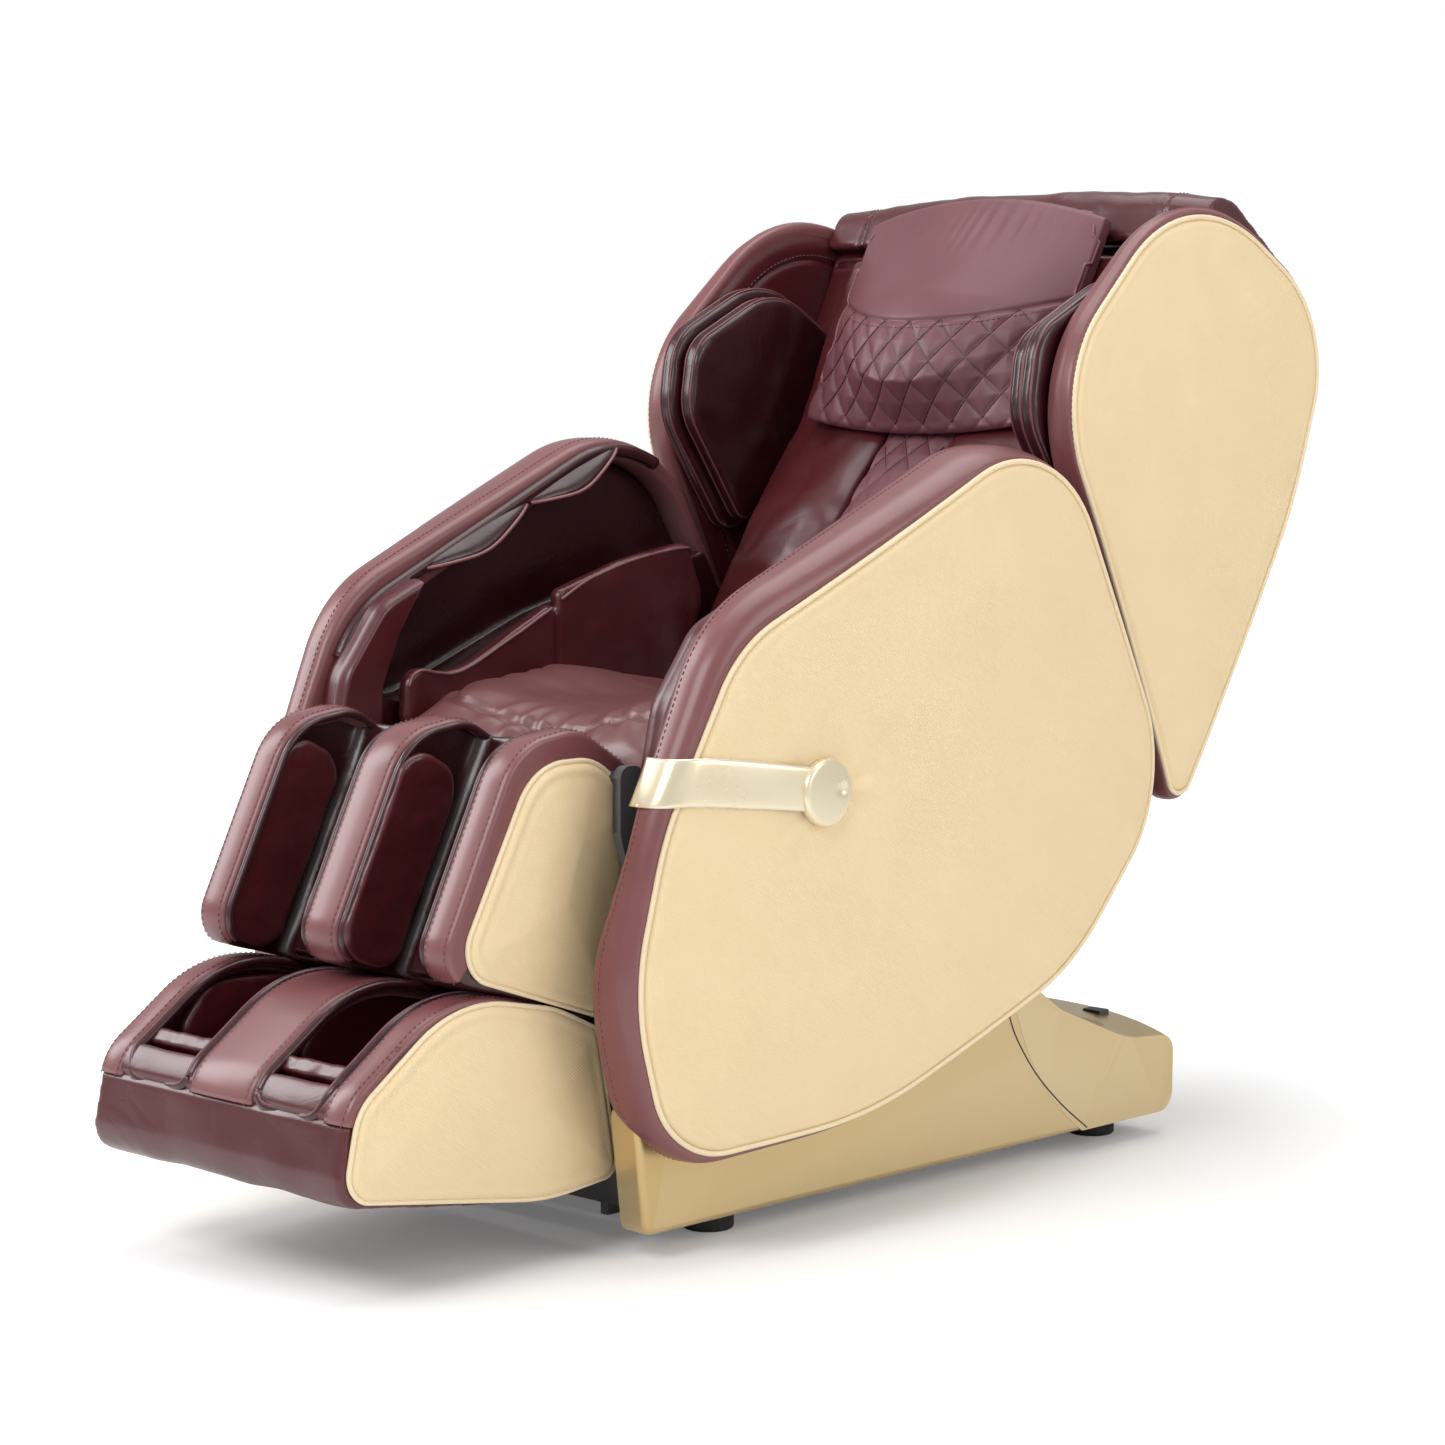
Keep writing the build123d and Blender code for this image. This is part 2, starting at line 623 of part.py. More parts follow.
# Strap across the panel's front edge, ending in a round disc
strap_thickness = 5
strap_start = tilt_pivot[0] - 500
strap_disc = (tilt_pivot[0] - 221, tilt_pivot[1] + 267)
strap_disc_radius = 38
strap_width = 54
with BuildPart() as arm_strap:
    with BuildSketch(Plane.YZ.offset(arm_low_inner)):
        with BuildLine():
            Polyline(
                (strap_disc[0], strap_disc[1] - 24), (strap_disc[0], strap_disc[1] + 29),
                (strap_start, strap_disc[1] + 50), (strap_start, strap_disc[1] + 50 - strap_width), close=True)
        make_face()
        with Locations(strap_disc):
            Circle(strap_disc_radius)
    extrude(amount=120)
    add(arm_curve(-strap_thickness), mode=Mode.INTERSECT)
    add(arm_curve(0), mode=Mode.SUBTRACT)
    add(slab(rim_corners, rim_radii, arm_low_inner, arm_widest, 0), mode=Mode.INTERSECT)
save_pair(arm_strap.part, "arm_strap")

# ---- Back -------------------------------------------------------------------------------------

bar_angle = math.radians(63.6)


def along_bar(distance, forward=0):
    """Point on the guide bars' middle line, at a distance from the recline hinge."""
    return (
        recline_pivot[0] + distance * math.cos(bar_angle) - forward * math.sin(bar_angle),
        recline_pivot[1] + distance * math.sin(bar_angle) + forward * math.cos(bar_angle),
    )


bar_length = 790
bar_half = 18
bar_tubes = [75, 755]
cushion_reach = 66
pad_rests = [(120, 170), (720, 770)]
bar_corners = [along_bar(-26, bar_half + 4), along_bar(-26, -bar_half - 4), along_bar(bar_length, -bar_half),
               along_bar(bar_length, bar_half)]
with BuildPart() as back_frame:
    for side in (-1, 1):
        low = bar_x if side > 0 else -bar_x - bar_width
        add(slab(bar_corners, [20, 20, 6, 6], low, low + bar_width))
        with BuildSketch(Plane.YZ.offset(side * (eye_width / 2 + 6) - 4)):
            with BuildLine():
                FilletPolyline(
                    *from_point(recline_pivot, [(16, 82), (54, 82), (46, -100), (16, -100)]),
                    radius=12, close=True)
            make_face()
        extrude(amount=8)
        for low_end, high_end in pad_rests:
            rest_corners = [along_bar(low_end, bar_half - 1), along_bar(high_end, bar_half - 1),
                            along_bar(high_end, cushion_reach - soft_gap), along_bar(low_end, cushion_reach - soft_gap)]
            add(slab(rest_corners, 3, low, low + bar_width))
    for distance in bar_tubes:
        add(cross_rod(along_bar(distance), 14, bar_x + 2))
    add(cross_rod(back_pin, pin_radius, eye_width / 2 + 10))
    add(cross_rod(recline_pivot, shaft_radius + running_gap, bar_x + bar_width + 1), mode=Mode.SUBTRACT)
save(back_frame.part, "back_frame")

pad_front_middle = [(-103, 140), (-85, 205), (28, 390), (140, 506), (266, 722)]
pad_front_outer = [(-62, 150), (-34, 215), (66, 381), (152, 499), (272, 722)]
pad_rear = [
    tuple(a - b for a, b in zip(along_bar(distance, cushion_reach), recline_pivot)) for distance in (780, 115)
]
back_radii = [26, 160, 420, 300, 2, 2, 18]


def back_section(x, front):
    """Back cushion section at x, from its front line to the space that the massage carriage needs."""
    return (x, from_point(recline_pivot, front + pad_rear), back_radii)


def between(low, high, share):
    """Front line part of the way from one line to another."""
    return [(a + share * (c - a), b + share * (d - b)) for (a, b), (c, d) in zip(low, high)]


pad_outer = seat_half - 8
with BuildPart() as back_pad:
    add(across([
        back_section(strip_half + soft_gap, between(pad_front_middle, pad_front_outer, 0.25)),
        back_section(strip_half + 30, pad_front_middle),
        back_section(pad_outer - 60, between(pad_front_middle, pad_front_outer, 0.35)),
        back_section(pad_outer, pad_front_outer),
    ]))
save_pair(back_pad.part, "back_pad")

strip_line = between(pad_front_middle, pad_front_outer, 0.12)
back_strip = across([
    back_section(-strip_half, between(pad_front_middle, pad_front_outer, 0.3)),
    back_section(-0.5 * strip_half, strip_line),
    back_section(0.5 * strip_half, strip_line),
    back_section(strip_half, between(pad_front_middle, pad_front_outer, 0.3)),
])
save(back_strip, "back_strip")

top_corners = from_point(recline_pivot, [
    (288, 744), (314, 806), (366, 808), (516, 686), (500, 652), (434, 744),
])
top_radii = [5, 30, 60, 16, 6, 6]
save(pad(top_corners, top_radii, -wing_inner + 2, wing_inner - 2, 14), "back_top_cover")

housing_corners = from_point(recline_pivot, [
    (150, 175), (316, 736), (428, 736), (490, 640), (400, 362), (228, 88), (196, 84),
])
housing_radii = [20, 10, 20, 60, 300, 20, 12]
housing_mouth = from_point(recline_pivot, [(100, 130), (280, 715), (390, 700), (215, 130)])
housing_half = wing_inner - soft_gap
with BuildPart() as back_housing:
    add(slab(housing_corners, housing_radii, -housing_half, housing_half))
    fillet(back_housing.faces().sort_by(Axis.X)[-1].edges().sort_by(Axis.Y)[-3:], radius=12)
    fillet(back_housing.faces().sort_by(Axis.X)[0].edges().sort_by(Axis.Y)[-3:], radius=12)
    add(slab(housing_corners, housing_radii, -housing_half + housing_wall, housing_half - housing_wall,
             -housing_wall), mode=Mode.SUBTRACT)
    add(slab(housing_mouth, 10, -bar_x - bar_width - 10, bar_x + bar_width + 10), mode=Mode.SUBTRACT)
save(back_housing.part, "back_housing")

# ---- Wings ------------------------------------------------------------------------------------

wing_corners = from_point(recline_pivot, [(218, 28), (-36, 566), (247, 822), (537, 643), (440, 400)])
wing_radii = [22, 165, 235, 142, 800]
wing_rim_corners = from_point(recline_pivot, [(217, 16), (-45, 569), (247, 838), (545, 650), (447, 398)])
wing_rim_radii = [24, 170, 240, 146, 800]


def wing_curve(inset):
    """Cylinder along the chair that shapes the wing in height, drawn in by an inset."""
    with BuildPart() as body:
        with Locations((wing_widest - wing_radius, 0, wing_widest_z)):
            Cylinder(wing_radius - inset, 3000, rotation=(90, 0, 0))
    return body.part


with BuildPart() as wing_panel:
    add(slab(wing_corners, wing_radii, wing_inner, wing_widest + 10))
    add(wing_curve(0), mode=Mode.INTERSECT)
    add(wing_curve(panel_thickness), mode=Mode.SUBTRACT)
    fillet(wing_panel.faces().sort_by(Axis.X)[-1].edges(), radius=panel_thickness - 3)
save_pair(wing_panel.part, "wing_panel")

with BuildPart() as wing_core:
    add(slab(wing_rim_corners, wing_rim_radii, wing_inner, wing_widest + 10))
    add(wing_curve(panel_thickness - 4), mode=Mode.INTERSECT)
    fillet(wing_core.faces().sort_by(Axis.X)[-1].edges(), radius=6)
    with BuildPart(mode=Mode.PRIVATE) as wing_panel_seat:
        add(slab(wing_corners, wing_radii, wing_inner, wing_widest + 10))
        add(wing_curve(panel_thickness), mode=Mode.SUBTRACT)
    add(wing_panel_seat.part, mode=Mode.SUBTRACT)
save_pair(wing_core.part, "wing_core")

bag_thickness = 21
shoulder_corners = from_point(recline_pivot, [
    (92, 352), (-20, 520), (-4, 622), (150, 702), (280, 630), (222, 468),
])
shoulder_radii = [30, 85, 60, 120, 34, 40]
with BuildPart() as shoulder_bags:
    add(pad(shoulder_corners, shoulder_radii, wing_inner - bag_thickness, wing_inner - soft_gap, 8))
    add(pad(shrunk(shoulder_corners, 14), shoulder_radii, wing_inner - 2 * bag_thickness,
            wing_inner - bag_thickness - soft_gap, 10))
save_pair(shoulder_bags.part, "shoulder_bags")

# ---- Head pillow ------------------------------------------------------------------------------

pillow_half = 196
pillow_hinge = (recline_pivot[0] + 283, recline_pivot[1] + 780)
pillow_corners = from_point(pillow_hinge, [
    (-166, -276), (-136, -140), (-22, 10), (2, 0), (-38, -80), (-149, -274),
])
pillow_edge_corners = from_point(pillow_hinge, [
    (-158, -266), (-82, -128), (-18, -6), (-1, -12), (-34, -78), (-147, -266),
])
pillow_radii = [8, 150, 11, 10, 110, 7]
pillow_edge_radii = [4, 150, 6, 5, 110, 4]
pillow = across([
    (-pillow_half, pillow_edge_corners, pillow_edge_radii),
    (-0.72 * pillow_half, pillow_corners, pillow_radii),
    (0.72 * pillow_half, pillow_corners, pillow_radii),
    (pillow_half, pillow_edge_corners, pillow_edge_radii),
])
save(pillow, "head_pillow")

# ---- Massage carriage -------------------------------------------------------------------------

carriage_distance = 300
head_forward = 34
head_arm_x = 62
roller_half_spread = 46
head_shaft_half = 120


def bar_plane(distance, forward=0):
    """Plane on the guide bars whose normal runs up along them and whose y points forward."""
    y, z = along_bar(distance, forward)
    return Plane(origin=(0, y, z), x_dir=(-1, 0, 0), z_dir=(0, math.cos(bar_angle), math.sin(bar_angle)))


with BuildPart(bar_plane(carriage_distance)) as massage_block:
    with Locations((0, -16, 0)):
        Box(2 * head_shaft_half + 40, 34, 130)
    Box(2 * (bar_x - soft_gap), 22, 96)
    with Locations((0, 6, 0)):
        Box(2 * head_shaft_half + 30, 12, 130, mode=Mode.SUBTRACT)
    for side in (-1, 1):
        with Locations((side * (head_shaft_half + 8), head_forward / 2 + 2, 0)):
            Box(12, head_forward + 22, 44)
with BuildPart() as massage_carriage:
    add(massage_block.part)
    add(cross_rod(along_bar(carriage_distance, head_forward), shaft_radius + running_gap, head_shaft_half + 20),
        mode=Mode.SUBTRACT)
save(massage_carriage.part, "massage_carriage")

with BuildPart() as massage_heads:
    add(cross_rod(along_bar(carriage_distance, head_forward), shaft_radius, head_shaft_half + 12))
    with BuildPart(bar_plane(carriage_distance, head_forward), mode=Mode.PRIVATE) as head_arms:
        for side in (-1, 1):
            with Locations((side * head_arm_x, 0, 0)):
                Box(14, 24, 2 * roller_half_spread + 20)
    add(head_arms.part)
    for end in (-1, 1):
        for side in (-1, 1):
            with BuildSketch(Plane.YZ.offset(side * (head_arm_x + 20) - 14)):
                with Locations(along_bar(carriage_distance + end * roller_half_spread, head_forward)):
                    Circle(roller_radius)
            extrude(amount=28)
save(massage_heads.part, "massage_heads")

# ---- Calf rest --------------------------------------------------------------------------------

calf_corners = from_point(calf_pivot, [(-232, -191), (-118, 22), (-30, 22), (35, -30), (-5, -269)])
calf_radii = [38, 100, 70, 24, 18]
calf_shell_corners = from_point(calf_pivot, [(-258, -196), (-140, 45), (-50, 57), (27, 10), (-7, -273)])
calf_shell_radii = [40, 90, 60, 26, 20]
calf_slope = math.radians(63.8)
trough_depth = 112
trough_round = 18
trough_inner = middle_wall
trough_outer = leg_half - leg_wall
trough_middle = (trough_inner + trough_outer) / 2
trough_width = trough_outer - trough_inner


def calf_point(distance, depth):
    """Point at a distance up the calf rest's front line and a depth behind it."""
    return (
        calf_shell_corners[0][0] + distance * math.cos(calf_slope) + depth * math.sin(calf_slope),
        calf_shell_corners[0][1] + distance * math.sin(calf_slope) - depth * math.cos(calf_slope),
    )


def calf_plane(distance, depth):
    """Plane across the calf rest at a point of it, with y pointing out of the troughs."""
    return Plane(
        origin=(0, *calf_point(distance, depth)),
        x_dir=(-1, 0, 0),
        z_dir=(0, math.cos(calf_slope), math.sin(calf_slope)),
    )


with BuildPart() as calf_shell:
    add(slab(calf_shell_corners, calf_shell_radii, -leg_half, leg_half))
    for side in (-1, 1):
        with BuildSketch(calf_plane(-60, trough_depth)):
            with Locations((side * trough_middle, 150)):
                RectangleRounded(trough_width, 300, trough_round)
        extrude(amount=500, mode=Mode.SUBTRACT)
    with BuildSketch(Plane.YZ.offset(-eye_width / 2 - 12)):
        with BuildLine():
            FilletPolyline(
                *from_point(calf_pivot, [(10, -70), (50, -68), (66, -90), (48, -106), (5, -112)]),
                radius=[4, 10, 8, 10, 4], close=True)
        make_face()
    extrude(amount=eye_width + 24)
    add(cross_rod(calf_pin, 34, eye_width / 2 + 2), mode=Mode.SUBTRACT)
    with Locations((0, calf_pin[0], calf_pin[1])):
        Box(eye_width + 4, 100, 68, align=(Align.CENTER, Align.MIN, Align.CENTER), mode=Mode.SUBTRACT)
    add(cross_rod(calf_pin, pin_radius, eye_width / 2 + 8))
    add(cross_rod(calf_pivot, pin_radius + 1 + running_gap, 2 * leg_half), mode=Mode.SUBTRACT)
    fillet(calf_shell.faces().sort_by(Axis.X)[-1].edges().sort_by(Axis.Y)[:3], radius=8)
save(calf_shell.part, "calf_shell")

with BuildPart() as calf_panel:
    add(slab(calf_corners, calf_radii, leg_half, leg_half + leg_panel))
    fillet(calf_panel.faces().sort_by(Axis.X)[-1].edges(), radius=leg_panel - 3)
    add(cross_rod(calf_pivot, pin_radius + 1 + running_gap, 2 * leg_half), mode=Mode.SUBTRACT)
save_pair(calf_panel.part, "calf_panel")

bag_width = 15
calf_bag_corners = [calf_point(12, 3), calf_point(262, 3), calf_point(256, 90), calf_point(16, 90)]
calf_cushion_depth = 15
with BuildPart() as calf_bags:
    for side in (-1, 1):
        for low in (trough_inner + soft_gap, trough_outer - bag_width - soft_gap):
            start = low if side > 0 else -low - bag_width
            add(pad(calf_bag_corners, [36, 36, 34, 34], start, start + bag_width, 6))
save(calf_bags.part, "calf_bags")

with BuildPart() as calf_cushions:
    for side in (-1, 1):
        with BuildSketch(calf_plane(24, trough_depth - soft_gap)):
            with Locations((side * trough_middle, calf_cushion_depth / 2)):
                RectangleRounded(trough_width - 2 * bag_width - 16, calf_cushion_depth, 6)
        extrude(amount=212)
    fillet(calf_cushions.edges().group_by(Axis.Z)[0], radius=4)
save(calf_cushions.part, "calf_cushions")

# ---- Foot rest --------------------------------------------------------------------------------

foot_corners = from_point(calf_pivot, [
    (-389, -412), (-369, -320), (-231, -220), (-90, -249), (-27, -279), (3, -445), (-105, -456),
])
foot_radii = [30, 60, 180, 150, 15, 18, 300]
foot_shell_corners = from_point(calf_pivot, [
    (-402, -420), (-380, -312), (-238, -211), (-90, -247), (-25, -281), (5, -450), (-105, -461),
])
foot_shell_radii = [34, 64, 180, 150, 15, 18, 300]
well_corners = from_point(calf_pivot, [
    (-362, -300), (-326, -332), (-112, -420), (-60, -392), (-66, -160), (-362, -160),
])
well_radii = [10, 34, 46, 34, 6, 6]
sole_corners = from_point(calf_pivot, [
    (-352, -297), (-322, -331.5), (-116, -416), (-112, -396), (-306, -314), (-338, -282),
])
foot_bag_corners = from_point(calf_pivot, [(-318, -312), (-268, -240), (-150, -246), (-92, -280), (-102, -392)])
with BuildPart() as foot_shell:
    add(slab(foot_shell_corners, foot_shell_radii, -leg_half, leg_half))
    for side in (-1, 1):
        middle = side * trough_middle
        add(slab(well_corners, well_radii, middle - trough_width / 2, middle + trough_width / 2), mode=Mode.SUBTRACT)
save(foot_shell.part, "foot_shell")

with BuildPart() as foot_panel:
    add(slab(foot_corners, foot_radii, leg_half, leg_half + leg_panel))
    fillet(foot_panel.faces().sort_by(Axis.X)[-1].edges(), radius=leg_panel - 3)
save_pair(foot_panel.part, "foot_panel")

with BuildPart() as foot_bags:
    for side in (-1, 1):
        for low in (trough_inner + soft_gap, trough_outer - bag_width - soft_gap):
            start = low if side > 0 else -low - bag_width
            add(pad(foot_bag_corners, [30, 60, 60, 24, 24], start, start + bag_width, 8))

with BuildPart() as sole_pads:
    for side in (-1, 1):
        low = side * trough_middle - trough_width / 2 + bag_width + 2
        add(slab(sole_corners, [5, 34, 6, 6, 30, 5], low, low + trough_width - 2 * bag_width - 4))
save(Compound(children=foot_bags.part.solids() + sole_pads.part.solids()), "foot_pads")

# ---- Switch and inlet -------------------------------------------------------------------------

switch_middle = 150
with BuildPart() as power_switch:
    with Locations((switch_x, switch_y, switch_middle)):
        Box(switch_length - 2 * runner_gap, switch_width - 2 * runner_gap, 12)
    fillet(power_switch.edges().filter_by(Axis.Z), radius=2)
save(power_switch.part, "power_switch")

with BuildPart() as power_inlet:
    with Locations((inlet_x, datum_y + 546 - 12, inlet_z)):
        Box(inlet_width - 0.6, 28, inlet_tall - 0.6)
    with Locations((inlet_x, datum_y + 546 + 2, inlet_z)):
        Box(inlet_width - 10, 16, inlet_tall - 10, mode=Mode.SUBTRACT)
    for x in (-7, 0, 7):
        with Locations((inlet_x + x, datum_y + 546 - 6, inlet_z)):
            Box(2, 12, 5)
save(power_inlet.part, "power_inlet")
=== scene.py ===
import json
import math
import bpy
import bmesh
import numpy as np
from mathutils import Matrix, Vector, noise
from mathutils.bvhtree import BVHTree


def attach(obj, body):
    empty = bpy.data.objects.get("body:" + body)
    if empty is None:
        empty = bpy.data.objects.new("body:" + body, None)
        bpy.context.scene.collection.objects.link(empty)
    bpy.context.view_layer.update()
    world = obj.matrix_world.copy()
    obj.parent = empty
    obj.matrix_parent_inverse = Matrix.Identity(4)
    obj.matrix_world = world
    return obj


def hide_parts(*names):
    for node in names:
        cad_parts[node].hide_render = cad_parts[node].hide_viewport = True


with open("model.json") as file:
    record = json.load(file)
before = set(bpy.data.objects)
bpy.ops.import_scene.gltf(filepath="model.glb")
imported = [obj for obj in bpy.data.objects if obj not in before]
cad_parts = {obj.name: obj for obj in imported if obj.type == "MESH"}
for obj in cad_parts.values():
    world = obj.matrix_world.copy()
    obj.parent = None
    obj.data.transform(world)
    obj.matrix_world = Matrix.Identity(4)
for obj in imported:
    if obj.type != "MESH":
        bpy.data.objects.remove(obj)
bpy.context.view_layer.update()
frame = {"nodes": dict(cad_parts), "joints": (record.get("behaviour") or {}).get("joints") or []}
milli = 0.001    # outlines below are in millimetres, meshes in metres

# the hinges that each group of pieces is measured from, as (y, z)
joints = {joint["name"]: joint for joint in frame["joints"]}
tiltPivot, reclinePivot, calfPivot, pillowHinge = (
    [1000 * value for value in joints[name]["pos_m"][1:]]
    for name in ("seat_tilt", "back_recline", "calf_lift", "pillow_flip")
)
datumY = tiltPivot[0]

# short ways to make and join shader nodes


def addNode(tree, kind, inputs=(), **settings):
    # a shader node; each input, by name or place, is a value to set or a socket to link
    node = tree.nodes.new("ShaderNode" + kind)
    for name, value in settings.items():
        setattr(node, name, value)
    for key, value in dict(inputs).items():
        if isinstance(value, bpy.types.NodeSocket):
            tree.links.new(value, node.inputs[key])
        else:
            node.inputs[key].default_value = value
    return node


def newMaterial(name, inputs):
    material = bpy.data.materials.new(name)
    material.use_nodes = True
    surface = material.node_tree.nodes["Principled BSDF"]
    for key, value in inputs.items():
        surface.inputs[key].default_value = value
    return material, material.node_tree, surface


# camera, lamps and floor

cameraSet = {"place": (3002, datumY - 3090, 983), "turn": 44.15, "tip": 5.7, "lens": 87.77}


def makeCamera():
    data = bpy.data.cameras.new("camera")
    data.lens = cameraSet["lens"]
    data.sensor_width = 36
    data.clip_end = 60
    camera = bpy.data.objects.new("camera", data)
    camera.location = Vector(cameraSet["place"]) * milli
    camera.rotation_euler = (math.radians(90 - cameraSet["tip"]), 0, math.radians(cameraSet["turn"]))
    bpy.context.scene.collection.objects.link(camera)
    bpy.context.scene.camera = camera


lampSet = {
    "key": {"place": (0.6, -3.2, 2.9), "size": (2.2, 1.4), "power": 62},
    "left": {"place": (-2.7, -1.7, 2.3), "size": (1.5, 2.2), "power": 62},
    "right": {"place": (3.4, 0.8, 1.9), "size": (1.8, 2.2), "power": 34},
    "top": {"place": (0.0, 0.4, 3.4), "size": (2.6, 2.6), "power": 48},
}
lampAim = Vector((0, 0, 0.55))
backdropSet = {"world": 0.5, "seen": 1.0, "half": 14, "floor": (0.92, 0.92, 0.92), "rough": 0.9, "shine": 0.1,
               "fadeFrom": 0.7, "fadeTo": 2.6, "nearLift": 0.12, "farLift": 1.0}


def makeLights():
    for name, lamp in lampSet.items():
        data = bpy.data.lights.new(name, "AREA")
        data.shape = "RECTANGLE"
        data.size, data.size_y = lamp["size"]
        data.energy = lamp["power"]
        light = bpy.data.objects.new(name, data)
        light.location = lamp["place"]
        light.rotation_euler = (lampAim - light.location).to_track_quat("-Z", "Y").to_euler()
        bpy.context.scene.collection.objects.link(light)


def makeWorld():
    world = bpy.data.worlds.new("studio")
    bpy.context.scene.world = world
    world.use_nodes = True
    tree = world.node_tree
    background = tree.nodes["Background"]
    background.inputs["Color"].default_value = (1, 1, 1, 1)
    path = addNode(tree, "LightPath")
    strength = addNode(tree, "Mix", {
        "A": backdropSet["world"], "B": backdropSet["seen"], "Factor": path.outputs["Is Camera Ray"]})
    tree.links.new(strength.outputs["Result"], background.inputs["Strength"])


def makeFloor():
    # pale near the chair, where its shadow falls, and lifted to white far from it
    half = backdropSet["half"]
    mesh = bpy.data.meshes.new("floor")
    corners = [(-half, -half, 0), (half, -half, 0), (half, half, 0), (-half, half, 0)]
    mesh.from_pydata(corners, [], [(0, 1, 2, 3)])
    floor = bpy.data.objects.new("floor", mesh)
    bpy.context.scene.collection.objects.link(floor)
    material, tree, surface = newMaterial("paleFloor", {
        "Base Color": (*backdropSet["floor"], 1), "Roughness": backdropSet["rough"],
        "Specular IOR Level": backdropSet["shine"], "Emission Color": (1, 1, 1, 1)})
    shape = addNode(tree, "NewGeometry")
    away = addNode(tree, "VectorMath", {0: shape.outputs["Position"]}, operation="LENGTH")
    fade = addNode(tree, "MapRange", {
        "Value": away.outputs["Value"],
        "From Min": backdropSet["fadeFrom"], "From Max": backdropSet["fadeTo"],
        "To Min": backdropSet["nearLift"], "To Max": backdropSet["farLift"]})
    path = addNode(tree, "LightPath")
    lift = addNode(tree, "Math", {0: path.outputs["Is Camera Ray"], 1: fade.outputs["Result"]},
                   operation="MULTIPLY")
    tree.links.new(lift.outputs["Value"], surface.inputs["Emission Strength"])
    mesh.materials.append(material)


bpy.context.scene.view_settings.view_transform = "Standard"
makeCamera()
makeLights()
makeWorld()
makeFloor()
print("stage: camera, lights and floor")

# effects that several materials share, each a group built once


def newGroup(name, inputs, outputs):
    tree = bpy.data.node_groups.new(name, "ShaderNodeTree")
    for label, kind, value in inputs:
        socket = tree.interface.new_socket(name=label, in_out="INPUT", socket_type=kind)
        socket.default_value = value
    for label, kind in outputs:
        tree.interface.new_socket(name=label, in_out="OUTPUT", socket_type=kind)
    return tree, tree.nodes.new("NodeGroupInput").outputs, tree.nodes.new("NodeGroupOutput").inputs


def makeGrainGroup():
    # pebbled hide: cells for the grain, and a slow noise for patches of tone and roughness
    tree, entry, leave = newGroup("pebbleGrain", [("Scale", "NodeSocketFloat", 700.0)],
                                  [("Height", "NodeSocketFloat"), ("Patch", "NodeSocketFloat")])
    place = addNode(tree, "TexCoord").outputs["Object"]
    turned = addNode(tree, "Mapping", {"Vector": place, "Rotation": (0.6, 0.4, 0.7)})
    cells = addNode(tree, "TexVoronoi", {"Vector": turned.outputs["Vector"], "Scale": entry["Scale"]},
                    feature="SMOOTH_F1")
    slow = addNode(tree, "TexNoise", {"Vector": place, "Scale": 14, "Detail": 4})
    tree.links.new(cells.outputs["Distance"], leave["Height"])
    tree.links.new(slow.outputs["Fac"], leave["Patch"])
    return tree


def makeCreaseGroup():
    # long soft creases where the hide is pulled, from a warped noise
    tree, entry, leave = newGroup("softCrease", [("Scale", "NodeSocketFloat", 9.0)],
                                  [("Height", "NodeSocketFloat")])
    place = addNode(tree, "TexCoord").outputs["Object"]
    creases = addNode(tree, "TexNoise", {
        "Vector": place, "Scale": entry["Scale"], "Detail": 3, "Distortion": 1.6})
    middle = addNode(tree, "Math", {0: creases.outputs["Fac"], 1: 0.5}, operation="SUBTRACT")
    ridge = addNode(tree, "Math", {0: middle.outputs["Value"]}, operation="ABSOLUTE")
    sharp = addNode(tree, "Math", {0: ridge.outputs["Value"], 1: 0.6}, operation="POWER")
    tree.links.new(sharp.outputs["Value"], leave["Height"])
    return tree


def makeWearGroup():
    # raised edges rub lighter
    tree, entry, leave = newGroup(
        "edgeRub",
        [("Base", "NodeSocketColor", (0.1, 0.1, 0.1, 1)), ("Rubbed", "NodeSocketColor", (0.3, 0.3, 0.3, 1)),
         ("Amount", "NodeSocketFloat", 0.3)],
        [("Color", "NodeSocketColor")],
    )
    shape = addNode(tree, "NewGeometry")
    ramp = addNode(tree, "MapRange", {
        "Value": shape.outputs["Pointiness"], "From Min": 0.51, "From Max": 0.60})
    mask = addNode(tree, "Math", {0: ramp.outputs["Result"], 1: entry["Amount"]}, operation="MULTIPLY")
    blend = addNode(tree, "Mix", {"Factor": mask.outputs["Value"], 6: entry["Base"], 7: entry["Rubbed"]},
                    data_type="RGBA")
    tree.links.new(blend.outputs[2], leave["Color"])
    return tree


def makeTwillGroup():
    # fine slanted ribs pressed into the pale hide
    tree, entry, leave = newGroup("twillRibs", [("Scale", "NodeSocketFloat", 150.0)],
                                  [("Height", "NodeSocketFloat")])
    place = addNode(tree, "TexCoord").outputs["Object"]
    ribs = addNode(tree, "TexWave", {"Vector": place, "Scale": entry["Scale"]}, bands_direction="DIAGONAL")
    tree.links.new(ribs.outputs["Fac"], leave["Height"])
    return tree


shaderGroups = {"grain": makeGrainGroup(), "crease": makeCreaseGroup(), "rub": makeWearGroup(),
                "twill": makeTwillGroup()}


def useGroup(tree, name, inputs):
    return addNode(tree, "Group", inputs, node_tree=shaderGroups[name]).outputs


def addBump(tree, height, strength, distance, under=None, invert=False):
    # lays a height over the normal of the bump under it
    inputs = {"Height": height, "Strength": strength, "Distance": distance}
    if under is not None:
        inputs["Normal"] = under
    return addNode(tree, "Bump", inputs, invert=invert).outputs["Normal"]


